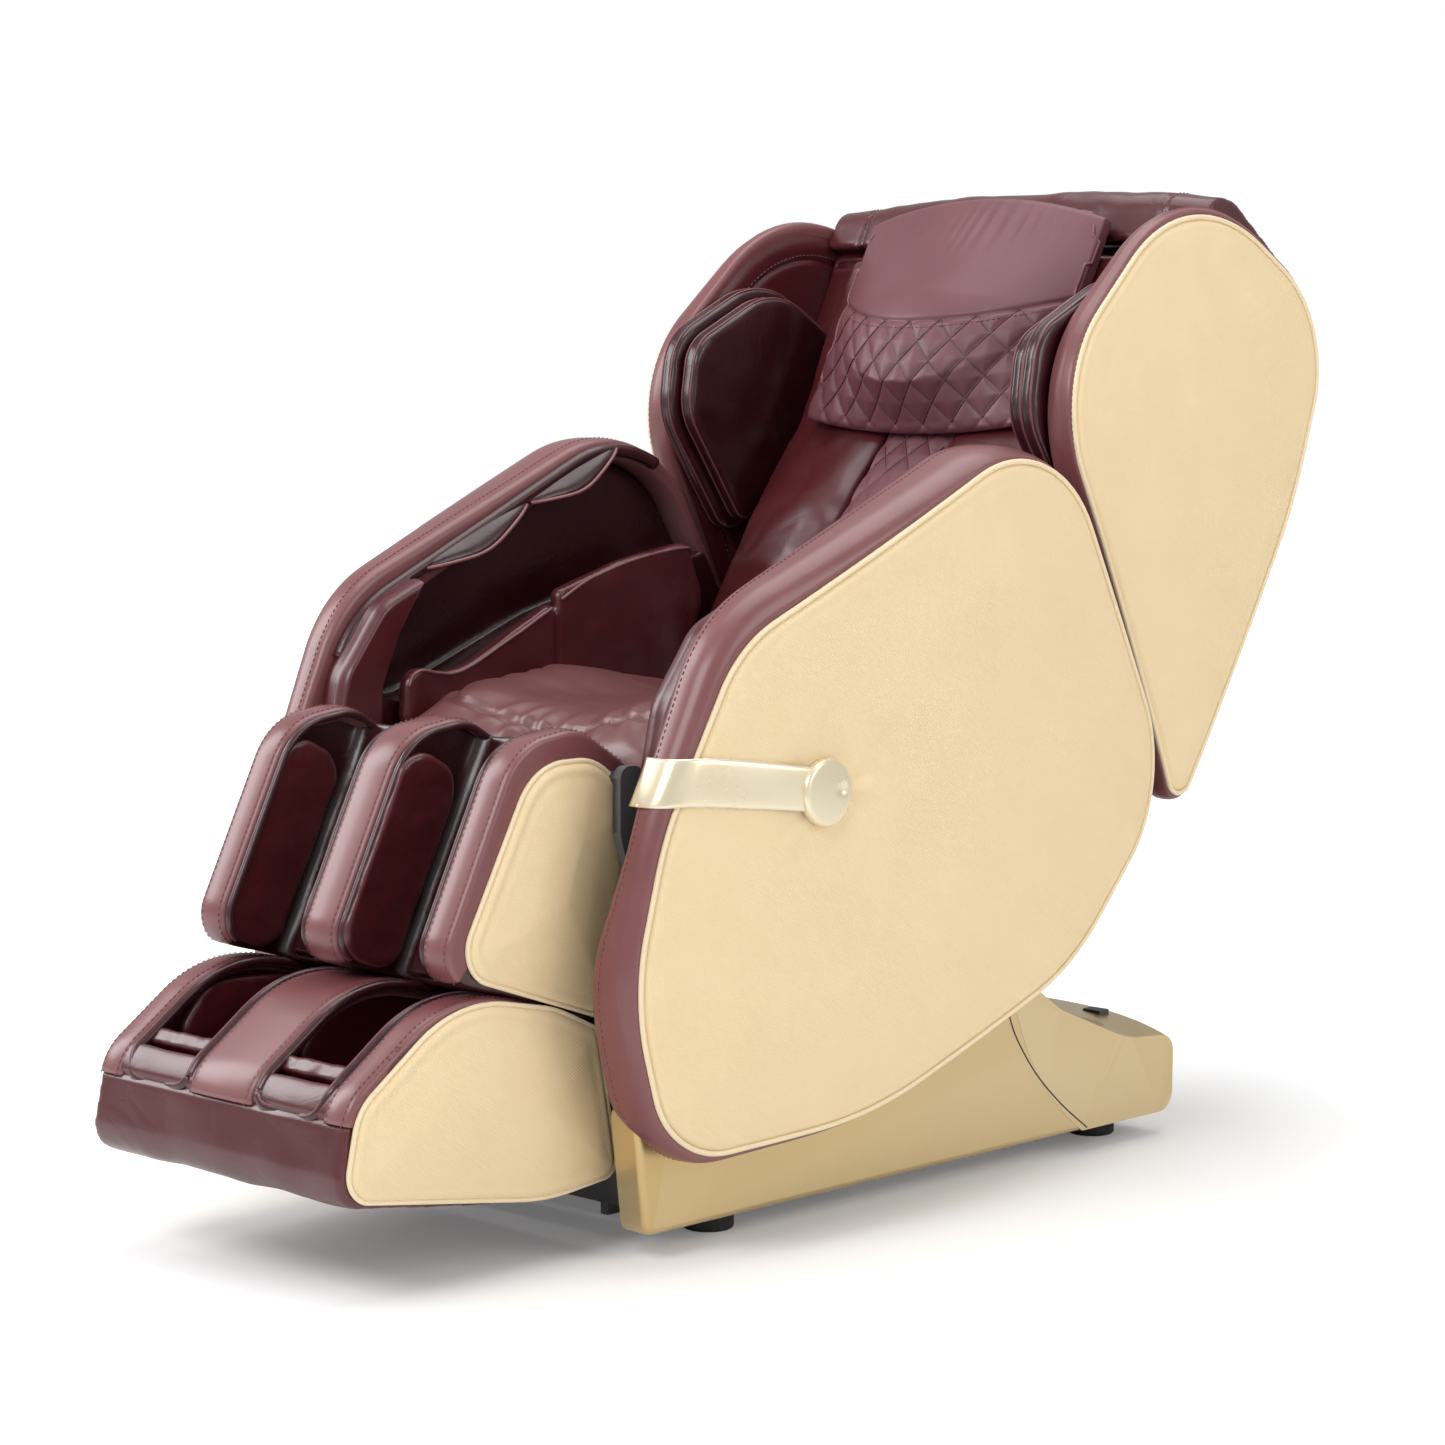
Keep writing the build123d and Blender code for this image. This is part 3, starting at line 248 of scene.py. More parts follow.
def makeFinish(name, finish, scale, rubbing, inputs):
    # what hides and hard finishes share: two tones, rubbed edges and a patchy roughness
    material, tree, surface = newMaterial(name, inputs)
    grain = useGroup(tree, "grain", {"Scale": scale})
    tones = addNode(tree, "Mix", {
        "Factor": grain["Patch"], 6: (*finish["tone"], 1), 7: (*finish["colour"], 1)}, data_type="RGBA")
    rub = useGroup(tree, "rub", {
        "Base": tones.outputs[2], "Rubbed": (*finish["rubbed"], 1), "Amount": rubbing})
    tree.links.new(rub["Color"], surface.inputs["Base Color"])
    low, high = finish["rough"]
    rough = addNode(tree, "MapRange", {"Value": grain["Patch"], "To Min": low, "To Max": high})
    tree.links.new(rough.outputs["Result"], surface.inputs["Roughness"])
    return material, tree, surface, grain


def hide(colour, tone, rubbed, rough, crease, depth, coat, grain=620, press=0.16, twill=0):
    # rough is the least roughness, depth that of the creases, and press how deep the grain is
    return {"colour": colour, "tone": tone, "rubbed": rubbed, "rough": (rough, rough + 0.1), "crease": crease,
            "creaseDepth": depth, "coat": coat, "grain": grain, "grainDepth": press, "twill": twill}


finishes = {
    "burgundyHide": hide((0.095, 0.013, 0.016), (0.060, 0.007, 0.009), (0.24, 0.09, 0.10),
                         rough=0.28, crease=7, depth=0.0016, coat=0.25),
    # painted highlight: the seat's hide is a lighter, mauve-brown copy of the burgundy hide, standing in for
    # the highlight the lamps lay on it
    "seatHidePaintedSheen": hide((0.175, 0.062, 0.062), (0.120, 0.034, 0.036), (0.30, 0.14, 0.14),
                     rough=0.34, crease=6, depth=0.0016, coat=0.2),
    "pillowHide": hide((0.165, 0.056, 0.066), (0.125, 0.038, 0.046), (0.25, 0.115, 0.125),
                       rough=0.42, crease=6, depth=0.0006, coat=0.06, press=0.14),
    # painted highlight: the bands' hide is a lighter, mauve copy of the burgundy hide, standing in for the
    # lamps' broad reflection on them
    "bandHidePaintedSheen": hide((0.215, 0.074, 0.076), (0.155, 0.044, 0.050), (0.36, 0.19, 0.19),
                     rough=0.34, crease=5, depth=0.0006, coat=0.3, press=0.14),
    # painted shade: a dark copy of the burgundy hide, in the colours of shaded burgundy, dressed on pieces in
    # channels, troughs, wells and grooves where shade falls
    "paintedShadeHide": hide((0.040, 0.005, 0.007), (0.020, 0.002, 0.003), (0.15, 0.045, 0.05),
                     rough=0.24, crease=9, depth=0.0020, coat=0.3),
    "creamHide": hide((0.86, 0.68, 0.415), (0.81, 0.62, 0.36), (0.92, 0.80, 0.58),
                      rough=0.42, crease=3, depth=0.0010, coat=0.08, grain=420, press=0.10, twill=150),
    "creamPiping": hide((0.86, 0.70, 0.45), (0.80, 0.63, 0.38), (0.94, 0.84, 0.66),
                        rough=0.40, crease=20, depth=0.0003, coat=0.05, grain=900, press=0.1),
    "burgundyPiping": hide((0.150, 0.028, 0.034), (0.10, 0.016, 0.02), (0.30, 0.13, 0.14),
                           rough=0.34, crease=20, depth=0.0003, coat=0.2, grain=900, press=0.1),
}


def makeHide(name):
    finish = finishes[name]
    material, tree, surface, grain = makeFinish(
        name, finish, finish["grain"], 0.35, {"Coat Weight": finish["coat"], "Coat Roughness": 0.22})
    crease = useGroup(tree, "crease", {"Scale": finish["crease"]})
    normal = addBump(tree, crease["Height"], 0.5, finish["creaseDepth"])
    normal = addBump(tree, grain["Height"], finish["grainDepth"], 0.0006, normal, True)
    if finish["twill"]:
        twill = useGroup(tree, "twill", {"Scale": finish["twill"]})
        normal = addBump(tree, twill["Height"], 0.5, 0.0004, normal)
    tree.links.new(normal, surface.inputs["Normal"])
    return material


def hard(colour, tone, rubbed, metal, rough, speck, depth, coat=0.0):
    return {"colour": colour, "tone": tone, "rubbed": rubbed, "metal": metal, "rough": rough, "speck": speck,
            "depth": depth, "coat": coat}


hardFinishes = {
    "goldShell": hard((0.66, 0.48, 0.215), (0.60, 0.43, 0.185), (0.80, 0.68, 0.44),
                      metal=0.72, rough=(0.30, 0.40), speck=1400, depth=0.05, coat=0.35),
    "paleGold": hard((0.86, 0.77, 0.56), (0.82, 0.71, 0.49), (0.95, 0.9, 0.76),
                     metal=0.55, rough=(0.24, 0.32), speck=1600, depth=0.03, coat=0.5),
    "blackPlastic": hard((0.020, 0.020, 0.021), (0.012, 0.012, 0.013), (0.09, 0.09, 0.09),
                         metal=0.0, rough=(0.42, 0.58), speck=900, depth=0.12),
    "rubber": hard((0.016, 0.016, 0.016), (0.010, 0.010, 0.010), (0.06, 0.06, 0.06),
                   metal=0.0, rough=(0.68, 0.82), speck=700, depth=0.15),
    "paintedSteel": hard((0.045, 0.047, 0.05), (0.03, 0.032, 0.035), (0.22, 0.22, 0.23),
                         metal=0.3, rough=(0.36, 0.48), speck=1100, depth=0.08, coat=0.1),
    "brightSteel": hard((0.58, 0.58, 0.60), (0.50, 0.50, 0.52), (0.8, 0.8, 0.8),
                        metal=1.0, rough=(0.20, 0.34), speck=1500, depth=0.04),
    "castAluminium": hard((0.55, 0.55, 0.56), (0.45, 0.45, 0.46), (0.72, 0.72, 0.73),
                          metal=0.9, rough=(0.40, 0.55), speck=500, depth=0.2),
}


def makeHard(name):
    finish = hardFinishes[name]
    material, tree, surface, grain = makeFinish(
        name, finish, finish["speck"], 0.5, {"Coat Weight": finish["coat"], "Metallic": finish["metal"]})
    tree.links.new(addBump(tree, grain["Height"], finish["depth"], 0.0003), surface.inputs["Normal"])
    return material


materials = {name: makeHide(name) for name in finishes}
materials.update({name: makeHard(name) for name in hardFinishes})
print("stage: materials")

# meshes: making them, shaping them and dressing them


def fromPivot(pivot, corners):
    # places measured from a hinge, as (y, z) or (y, z, radius)
    return [(pivot[0] + y, pivot[1] + z, *radius) for y, z, *radius in corners]


arcSteps = 16


def roundedLoop(corners, count):
    # closed outline through (y, z, radius) corners, evenly spaced
    places = np.array(corners, float)[:, :2]
    points = []
    for i, (_, _, radius) in enumerate(corners):
        here, before, after = places[i], places[i - 1], places[(i + 1) % len(places)]
        toBefore, toAfter = before - here, after - here
        lengths = np.linalg.norm(toBefore), np.linalg.norm(toAfter)
        toBefore, toAfter = toBefore / lengths[0], toAfter / lengths[1]
        half = math.acos(max(-1, min(1, float(toBefore @ toAfter)))) / 2
        reach = min(radius / math.tan(half), 0.49 * lengths[0], 0.49 * lengths[1])
        radius = reach * math.tan(half)
        middle = here + (toBefore + toAfter) / np.linalg.norm(toBefore + toAfter) * radius / math.sin(half)
        start, end = here + toBefore * reach - middle, here + toAfter * reach - middle
        first = math.atan2(start[1], start[0])
        turn = (math.atan2(end[1], end[0]) - first + math.pi) % (2 * math.pi) - math.pi
        for step in range(arcSteps + 1):
            angle = first + turn * step / arcSteps
            points.append(middle + radius * np.array([math.cos(angle), math.sin(angle)]))
    return evenly(np.array(points), count, True)


def evenly(points, count, closed=False):
    # points spaced evenly along a line of points
    points = np.asarray(points, float)
    if closed:
        points = np.vstack([points, points[:1]])
    run = np.concatenate([[0], np.cumsum(np.linalg.norm(np.diff(points, axis=0), axis=1))])
    wanted = np.linspace(0, run[-1], count + 1)[:-1] if closed else np.linspace(0, run[-1], count)
    return np.stack([np.interp(wanted, run, points[:, i]) for i in range(points.shape[1])], 1)


def smoothLine(points, count):
    # curve through the points
    points = np.asarray(points, float)
    padded = np.vstack([2 * points[0] - points[1], points, 2 * points[-1] - points[-2]])
    result = []
    for i in range(len(points) - 1):
        a, b, c, d = padded[i:i + 4]
        for t in np.linspace(0, 1, 12, endpoint=False):
            result.append(0.5 * (2 * b + (c - a) * t + (2 * a - 5 * b + 4 * c - d) * t * t
                                 + (3 * b - a - 3 * c + d) * t ** 3))
    result.append(points[-1])
    return evenly(result, count)


def outward(loop):
    # unit normals of a closed outline, pointing out of it
    along = np.roll(loop, -1, 0) - np.roll(loop, 1, 0)
    normals = np.stack([along[:, 1], -along[:, 0]], 1)
    normals /= np.linalg.norm(normals, axis=1)[:, None]
    area = np.sum(loop[:, 0] * np.roll(loop[:, 1], -1) - np.roll(loop[:, 0], -1) * loop[:, 1])
    return normals if area > 0 else -normals


def distanceTo(points, line):
    # shortest distance from each point to a line of points
    best = np.full(len(points), 1e9)
    for chunk in range(0, len(points), 4000):
        part = points[chunk:chunk + 4000]
        best[chunk:chunk + 4000] = np.linalg.norm(part[:, None] - line[None], axis=2).min(1)
    return best


def ease(value, low, high):
    share = np.clip((value - low) / (high - low), 0, 1)
    return share * share * (3 - 2 * share)


def bell(value, width):
    # one where the value is nought, dying out over the width
    return np.exp(-(value / width) ** 2)


def upright(loop, x):
    # points of an outline at one x, or at an x for each
    return np.column_stack([x + np.zeros(len(loop)), loop])


def skin(rings, capped=False):
    # faces between successive closed rings of points, and over both ends when capped
    rings = np.asarray(rings, float)
    count = rings.shape[1]
    faces = []
    for i in range(len(rings) - 1):
        for j in range(count):
            k = (j + 1) % count
            faces.append((i * count + j, i * count + k, (i + 1) * count + k, (i + 1) * count + j))
    if capped:
        faces.append(tuple(range(count))[::-1])
        faces.append(tuple(range((len(rings) - 1) * count, len(rings) * count)))
    return rings.reshape(-1, 3), faces


def wrapped(rings):
    # a closed band: every ring joins the next, and the last joins the first
    points, faces = skin(rings)
    count, last = rings[0].shape[0], (len(rings) - 1) * rings[0].shape[0]
    faces += [(last + j, last + (j + 1) % count, (j + 1) % count, j) for j in range(count)]
    return points, faces


def joined(shapes):
    # several shapes as one mesh
    points, faces, start = [], [], 0
    for some, theirs in shapes:
        points.append(some)
        faces += [tuple(i + start for i in face) for face in theirs]
        start += len(some)
    return np.vstack(points), faces


def makePiece(name, shape, material, body, side=1, hides=()):
    points, faces = shape
    points = np.array(points, float)
    points[:, 0] *= side
    mesh = bpy.data.meshes.new(name)
    mesh.from_pydata((points * milli).tolist(), [], faces)
    form = bmesh.new()
    form.from_mesh(mesh)
    bmesh.ops.recalc_face_normals(form, faces=form.faces)
    form.to_mesh(mesh)
    form.free()
    piece = bpy.data.objects.new(name, mesh)
    bpy.context.scene.collection.objects.link(piece)
    dress(piece, material, body, hides)


def paint(piece, material):
    piece.data.materials.clear()
    piece.data.materials.append(materials[material])
    for polygon in piece.data.polygons:
        polygon.use_smooth = True


def dress(piece, material, body, hides=()):
    paint(piece, material)
    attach(piece, body)
    if hides:
        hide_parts(*hides)


def makePair(name, shape, material, body, hides=()):
    for side, word in ((1, "left"), (-1, "right")):
        hidden = [f"{node}_{word}" for node in hides]
        makePiece(f"{name}_{word}", shape, material, body, side, hidden)


def tube(path, radius, sides=8, closed=True):
    # round cord along a path of points
    path = np.asarray(path, float)
    if closed:
        along = np.roll(path, -1, 0) - np.roll(path, 1, 0)
    else:
        along = np.gradient(path, axis=0)
    along /= np.linalg.norm(along, axis=1)[:, None]
    across = np.cross(along, [1.0, 0.02, 0.03])
    across /= np.linalg.norm(across, axis=1)[:, None]
    up = np.cross(across, along)
    turns = np.linspace(0, 2 * math.pi, sides, endpoint=False)
    rings = np.stack([path + radius * (math.cos(t) * across + math.sin(t) * up) for t in turns], 1)
    return wrapped(rings) if closed else skin(rings, True)


def stitchRow(path, closed=True, pitch=7.5, length=4.6, radius=0.75):
    # short threads, one after another along a path
    path = np.asarray(path, float)
    ends = np.vstack([path, path[:1]]) if closed else path
    total = np.linalg.norm(np.diff(ends, axis=0), axis=1).sum()
    count = max(2, int(total / pitch))
    places = evenly(path, count, closed)
    nexts = evenly(path, count * 8, closed)
    shapes = []
    for i, place in enumerate(places):
        j = min(i * 8 + 1, len(nexts) - 1)
        along = nexts[j] - nexts[j - 1]
        along /= np.linalg.norm(along) + 1e-9
        rings = []
        across = np.cross(along, [1, 0.1, 0.2])
        across /= np.linalg.norm(across)
        up = np.cross(across, along)
        for share, wide in ((-0.5, 0.35), (-0.3, 1), (0.3, 1), (0.5, 0.35)):
            middle = place + along * length * share
            rings.append([middle + radius * wide * (math.cos(t) * across + math.sin(t) * up)
                          for t in np.linspace(0, 2 * math.pi, 6, endpoint=False)])
        shapes.append(skin(rings, True))
    return joined(shapes)


def surfaceOf(piece):
    # search tree of a piece's faces, in millimetres where it stands
    points = [piece.matrix_world @ vertex.co / milli for vertex in piece.data.vertices]
    return BVHTree.FromPolygons(points, [list(polygon.vertices) for polygon in piece.data.polygons])


def clingTo(tree, path, lift=0.0):
    # the path laid on the nearest surface, raised along its normals
    result = []
    for point in path:
        spot, normal, _, _ = tree.find_nearest(Vector(point))
        result.append(np.array(spot) + lift * np.array(normal))
    return np.array(result)


def castOnto(tree, path, aim, lift):
    # the path thrown onto a surface and raised along its normals; points that miss it are left out
    result = []
    for point in path:
        spot, normal, _, _ = tree.ray_cast(Vector(point), Vector(aim))
        if spot is not None:
            result.append(np.array(spot) + lift * np.array(normal))
    return np.array(result)


def getPoints(piece):
    flat = np.zeros(len(piece.data.vertices) * 3)
    piece.data.vertices.foreach_get("co", flat)
    return flat.reshape(-1, 3) / milli


def setPoints(piece, points):
    piece.data.vertices.foreach_set("co", (points * milli).ravel())
    piece.data.update()


def normalsOf(piece):
    flat = np.zeros(len(piece.data.vertices) * 3)
    piece.data.vertices.foreach_get("normal", flat)
    return flat.reshape(-1, 3)


def applyModifiers(piece):
    # the piece keeps the mesh that its modifiers make
    graph = bpy.context.evaluated_depsgraph_get()
    fresh = bpy.data.meshes.new_from_object(piece.evaluated_get(graph))
    piece.modifiers.clear()
    old = piece.data
    piece.data = fresh
    bpy.data.meshes.remove(old)


def softCopy(node, name, voxel=4.0, rounds=6, trim=0.0):
    # a fine, rounded copy of a solid, drawn in by a trim
    piece = bpy.data.objects.new(name, frame["nodes"][node].data.copy())
    bpy.context.scene.collection.objects.link(piece)
    piece.data.name = name
    if trim:
        thin = piece.modifiers.new("trim", "DISPLACE")
        thin.strength = -trim * milli
        thin.mid_level = 0
    remesh = piece.modifiers.new("remesh", "REMESH")
    remesh.mode = "VOXEL"
    remesh.voxel_size = voxel * milli
    soften = piece.modifiers.new("soften", "SMOOTH")
    soften.factor = 0.5
    soften.iterations = rounds
    applyModifiers(piece)
    return piece


def pushAlong(piece, amounts):
    setPoints(piece, getPoints(piece) + normalsOf(piece) * np.asarray(amounts)[:, None])


def wrinkle(points, scale, amount, seed=0.0):
    # gentle uneven folds
    return np.array([
        amount * noise.noise(Vector((p[0] * scale + seed, p[1] * scale, p[2] * scale + 0.37 * seed)))
        for p in points
    ])


edgeShares = [1, 0.994, 0.987, 0.978, 0.966, 0.95, 0.93, 0.905, 0.875, 0.84]
faceShares = edgeShares + list(np.linspace(0.8, 0.02, 34))
panelPuff = {"height": 6.0, "from": 8, "to": 150}


def puffAt(places, loop):
    return panelPuff["height"] * ease(distanceTo(places, loop), panelPuff["from"], panelPuff["to"])


def shrunk(loop, middle, share):
    return np.array(middle) + (loop - np.array(middle)) * share


def paddedPanel(loop, middle, outerX, thickness, edgeRadius=11, extra=None):
    # upholstered side panel: rounded at its edge, with a groove beside its piping and a puffed face
    rings = []
    for share in faceShares:
        ring = shrunk(loop, middle, share)
        away = distanceTo(ring, loop)
        drop = edgeRadius * (1 - np.sqrt(1 - (1 - np.minimum(away / edgeRadius, 1)) ** 2))
        x = outerX(ring) - 0.8 * drop + puffAt(ring, loop) - 1.3 * bell(away - 15, 4)
        if extra:
            x = x + extra(ring)
        rings.append(upright(ring, x))
    wall = upright(loop, outerX(loop) - thickness)
    back = shrunk(loop, middle, 0.9)
    return skin([upright(back, outerX(back) - thickness), wall] + rings, True)


def makeSidePanel(name, node, body, loop, face, pipeX, pipeRadius):
    # cream panel with a piping cord round its edge
    makePair(f"{name}Panel", face, "creamHide", body, [node])
    line = upright(loop + 1.2 * outward(loop), pipeX)
    makePair(f"{name}Piping", tube(line, pipeRadius), "creamPiping", body)


def reachTo(outerLoop, point):
    # from a point of the panel's outline to the nearest point of the rim's outline
    return outerLoop[np.argmin(np.linalg.norm(outerLoop - point, axis=1))] - point


def rimBand(loop, outerLoop, section, outerX, innerX):
    # leather band swept round a side outline; section holds (share outwards, side, depth), and the depth is
    # from the outer x, from the inner x, or a share of the way across
    rings = []
    for point in loop:
        reach = reachTo(outerLoop, point)
        outer, inner = outerX(point[None])[0], innerX(point)
        corners = []
        for share, side, depth in section:
            across = outer + (inner - outer) * depth
            x = {"outer": outer - depth, "inner": inner + depth, "across": across}[side]
            corners.append((x, *(point + share * reach)))
        rings.append(smoothLine(corners, 30))
    return wrapped(rings)


def onBand(loop, outerLoop, share, places):
    # path along a rim band at one share of its width; places holds the x of each point, or one x for all
    levels = np.zeros(len(loop)) + places
    return np.array([(x, *(point + share * reachTo(outerLoop, point))) for x, point in zip(levels, loop)])


def cushion(loop, middle, low, high, inset=7, crown=0, seed=0.0, folds=1.2):
    # upright pad between two x values, fullest at its mid seam
    normals = outward(loop)
    thick = high - low

    def ring(x, share, drawn):
        return upright(shrunk(loop - drawn * normals, middle, share), x)

    rings = [ring(low - crown * (1 - share ** 2), share, inset) for share in np.linspace(0.04, 0.94, 12)]
    for turn in np.linspace(-80, 80, 13):
        x = (low + high) / 2 + thick / 2 * math.sin(math.radians(turn))
        pinch = 1.6 * math.exp(-(turn / 9) ** 2)
        rings.append(ring(x, 1, inset * (1 - math.cos(math.radians(turn))) + pinch))
    for share in np.linspace(0.94, 0.04, 12):
        rings.append(ring(high + crown * 0.2 * (1 - share ** 2), share, inset))
    points, faces = skin(rings, True)
    points[:, 0] += wrinkle(points, 0.022, folds, seed)
    return points, faces


def makeSoft(node, name, mesh, push, material, body):
    # a solid's rounded copy, of (voxel, rounds), pushed out by what push gives for its points, then dressed
    piece = softCopy(node, name, *mesh)
    pushAlong(piece, push(getPoints(piece)))
    dress(piece, material, body, [node])


def dressPair(piece, name, material, body, node):
    # dresses a left piece and its mirror image
    other = bpy.data.objects.new(f"{name}_right", piece.data.copy())
    bpy.context.scene.collection.objects.link(other)
    points = getPoints(other)
    points[:, 0] *= -1
    setPoints(other, points)
    other.data.flip_normals()
    for some, word in ((piece, "left"), (other, "right")):
        dress(some, material, body, [f"{node}_{word}"])


# arms

pipeRadius, pipeSunk = 3.4, 5.2
armSet = {
    "outline": [(-425, -127, 90), (-470, 60, 300), (-430, 235, 400), (-332, 434, 160), (168, 676, 158),
                (420, 223, 155), (210, 22, 350), (-146, -108, 600)],
    "rim": [(-434, -142, 100), (-490, 60, 300), (-452, 240, 420), (-352, 466, 190), (172, 697, 176),
            (427, 223, 160), (213, 12, 350), (-146, -121, 600)],
    "widest": 390, "widestAt": 96, "planRadius": 2830, "rimInner": 298, "wrapInner": 268,
    "wrapEase": (60, 240), "middle": (-20, 270), "disc": (-221, 267), "discRadius": 38,
}
armLoop = roundedLoop(fromPivot(tiltPivot, armSet["outline"]), 420)
armRimLoop = roundedLoop(fromPivot(tiltPivot, armSet["rim"]), 900)
armMiddle, disc = np.array(fromPivot(tiltPivot, [armSet["middle"], armSet["disc"]]))


def armX(places):
    far = places[:, 0] - tiltPivot[0] - armSet["widestAt"]
    return armSet["widest"] - armSet["planRadius"] + np.sqrt(armSet["planRadius"] ** 2 - far ** 2)


def armInnerX(point):
    # the rim reaches further in low down, ahead of the seat
    start, end = armSet["wrapEase"]
    low = 1 - ease(point[1], tiltPivot[1] + start, tiltPivot[1] + end)
    front = 1 - ease(point[0], calfPivot[0] - 50, calfPivot[0] - 20)
    return armSet["rimInner"] + (armSet["wrapInner"] - armSet["rimInner"]) * low * front


def discPucker(places):
    # the face is drawn in round the strap's disc, with short radial creases behind it
    offset = places - disc
    away = np.linalg.norm(offset, axis=1)
    turn = np.arctan2(offset[:, 1], offset[:, 0])
    ringDip = -5.5 * bell(away - 38, 30)
    rear = bell(turn + 0.1, 0.5) + 0.9 * bell(turn + 2.2, 0.3)
    creases = 2.4 * np.sin(11 * turn + 0.6 + 0.02 * away) * rear * bell(away - 50, 34)
    return np.where(away < 30, -5.5, ringDip + creases)


def makeArms():
    # outer panel, rim band round it, the stitches along both, and a dark cord of painted shade in the groove
    # beside the piping
    face = paddedPanel(armLoop, armMiddle, armX, 12, 14, discPucker)
    makeSidePanel("arm", "arm_panel", "seat", armLoop, face, armX(armLoop) - pipeSunk, pipeRadius)
    section = [
        (-0.45, "outer", 15), (-0.1, "outer", 11), (0.1, "outer", 7), (0.28, "outer", 6),
        (0.5, "across", 0.12), (0.72, "across", 0.19), (0.9, "across", 0.31), (1.0, "across", 0.46),
        (1.02, "across", 0.62), (1.0, "across", 0.8), (0.93, "across", 0.92), (0.75, "across", 0.985),
        (0.25, "inner", 0), (-0.5, "inner", 1),
    ]
    band = rimBand(armLoop, armRimLoop, section, armX, armInnerX)
    # painted highlight: the rim band is dressed in the lighter copy of the burgundy hide
    makePair("armRim", band, "bandHidePaintedSheen", "seat", ["arm_rim"])
    outerThread = onBand(armLoop, armRimLoop, 0.3, armX(armLoop) - 6.4)
    wide = armX(armLoop) - np.array([armInnerX(p) for p in armLoop])
    innerThread = onBand(armLoop, armRimLoop, 1.02, armX(armLoop) - 0.78 * wide)
    # painted shade: a thin dark cord along the groove between the cream piping and the band, where the
    # groove's shade falls
    shade = onBand(armLoop, armRimLoop, 0.07, armX(armLoop) - 6.5)
    makePair("armGrooveShade", tube(shade, 1.6, 6), "paintedShadeHide", "seat")
    threads = joined([stitchRow(outerThread, radius=0.6), stitchRow(innerThread, radius=0.6)])
    makePair("armStitches", threads, "burgundyPiping", "seat")


def makeArmLining():
    lining = softCopy("arm_core_left", "armLining_left", 5, 6)
    points = getPoints(lining)
    pushAlong(lining, wrinkle(points, 0.012, 5, 3.0) * ease(-points[:, 0], -330, -285))
    # painted shade: the lining inside the arm's channel is dressed in the dark copy of the burgundy hide
    dressPair(lining, "armLining", "paintedShadeHide", "seat", "arm_core")


flapSet = {"starts": [(-232, 494), (-56, 570)], "lengths": [192, 172], "reach": 27, "rise": 231, "run": 524,
           "rollFrom": (-352, 380), "rollTo": (196, 640)}


def makeFlaps():
    # two leaf-shaped air cells along the channel's top, with a rolled edge above them
    slope = math.atan2(flapSet["rise"], flapSet["run"])
    along = np.array([0, math.cos(slope), math.sin(slope)])
    up = np.array([0, -math.sin(slope), math.cos(slope)])
    shapes, lips = [], []
    for (y, z), length in zip(flapSet["starts"], flapSet["lengths"]):
        start = np.array([armSet["rimInner"] - 0.5, tiltPivot[0] + y, tiltPivot[1] + z])
        rings, lip = [], []
        for share in np.linspace(0, 1, 46):
            full = math.sin(math.pi * min(max(share * 0.96 + 0.02, 0), 1)) ** 0.6
            reach = flapSet["reach"] * (0.12 + 0.88 * full)
            sag = 2.4 * math.sin(9 * share + y) * full
            corners = [(0, 6 * full), (-0.3 * reach, 4 * full), (-0.8 * reach, -6 * full + sag),
                       (-reach, -17 * full + sag), (-0.86 * reach, -22 * full + sag),
                       (-0.6 * reach, -20 * full), (-0.25 * reach, -15 * full - 1), (0, -9 * full - 1)]
            root = start + along * share * length
            rings.append(smoothLine([root + np.array([a, 0, 0]) + up * b for a, b in corners], 28))
            lip.append(root + np.array([-reach - 0.5, 0, 0]) + up * (-20 * full + sag))
        shapes.append(skin(rings, True))
        lips.append(tube(smoothLine(lip[1:-1], 80), 2.4, 8, False))
    # painted shade: the air cells in the channel are dressed in the dark copy of the burgundy hide
    makePair("armFlap", joined(shapes), "paintedShadeHide", "seat", ["arm_flaps"])
    # painted highlight: the flaps' piping is dressed in the lighter copy of the burgundy hide
    makePair("armFlapPiping", joined(lips), "bandHidePaintedSheen", "seat")
    ends = np.array(fromPivot(tiltPivot, [flapSet["rollFrom"], flapSet["rollTo"]]))
    first, last = sorted(int(np.argmin(np.linalg.norm(armLoop - spot, axis=1))) for spot in ends)
    roll = onBand(armLoop[first:last], armRimLoop, 0.2, armSet["rimInner"] - 4.5)
    # painted shade: the roll over the channel is dressed in the dark copy of the burgundy hide
    makePair("armRoll", tube(roll, 8.5, 12, False), "paintedShadeHide", "seat")


noseSet = {
    "outline": [(-412, 236, 20), (-380, 372, 70), (-318, 454, 70), (-240, 488, 6), (-290, 416, 70),
                (-318, 352, 50), (-322, 236, 12)],
    "middle": (-358, 330), "low": 257, "high": 301,
}


def makeArmNose():
    # padded end in front of the hand's channel, with a sewn seam round the channel's mouth
    loop = roundedLoop(fromPivot(tiltPivot, noseSet["outline"]), 200)
    middle = fromPivot(tiltPivot, [noseSet["middle"]])[0]
    shape = cushion(loop, middle, noseSet["low"], noseSet["high"], 7, 0, 4.0, 0.8)
    makePair("armNose", shape, "burgundyHide", "seat")


armPadTops = [
    [(-287, 352), (-270, 372), (-206, 366), (-120, 402), (-42, 440)],
    [(-30, 448), (20, 472), (82, 490), (150, 502), (205, 506)],
]


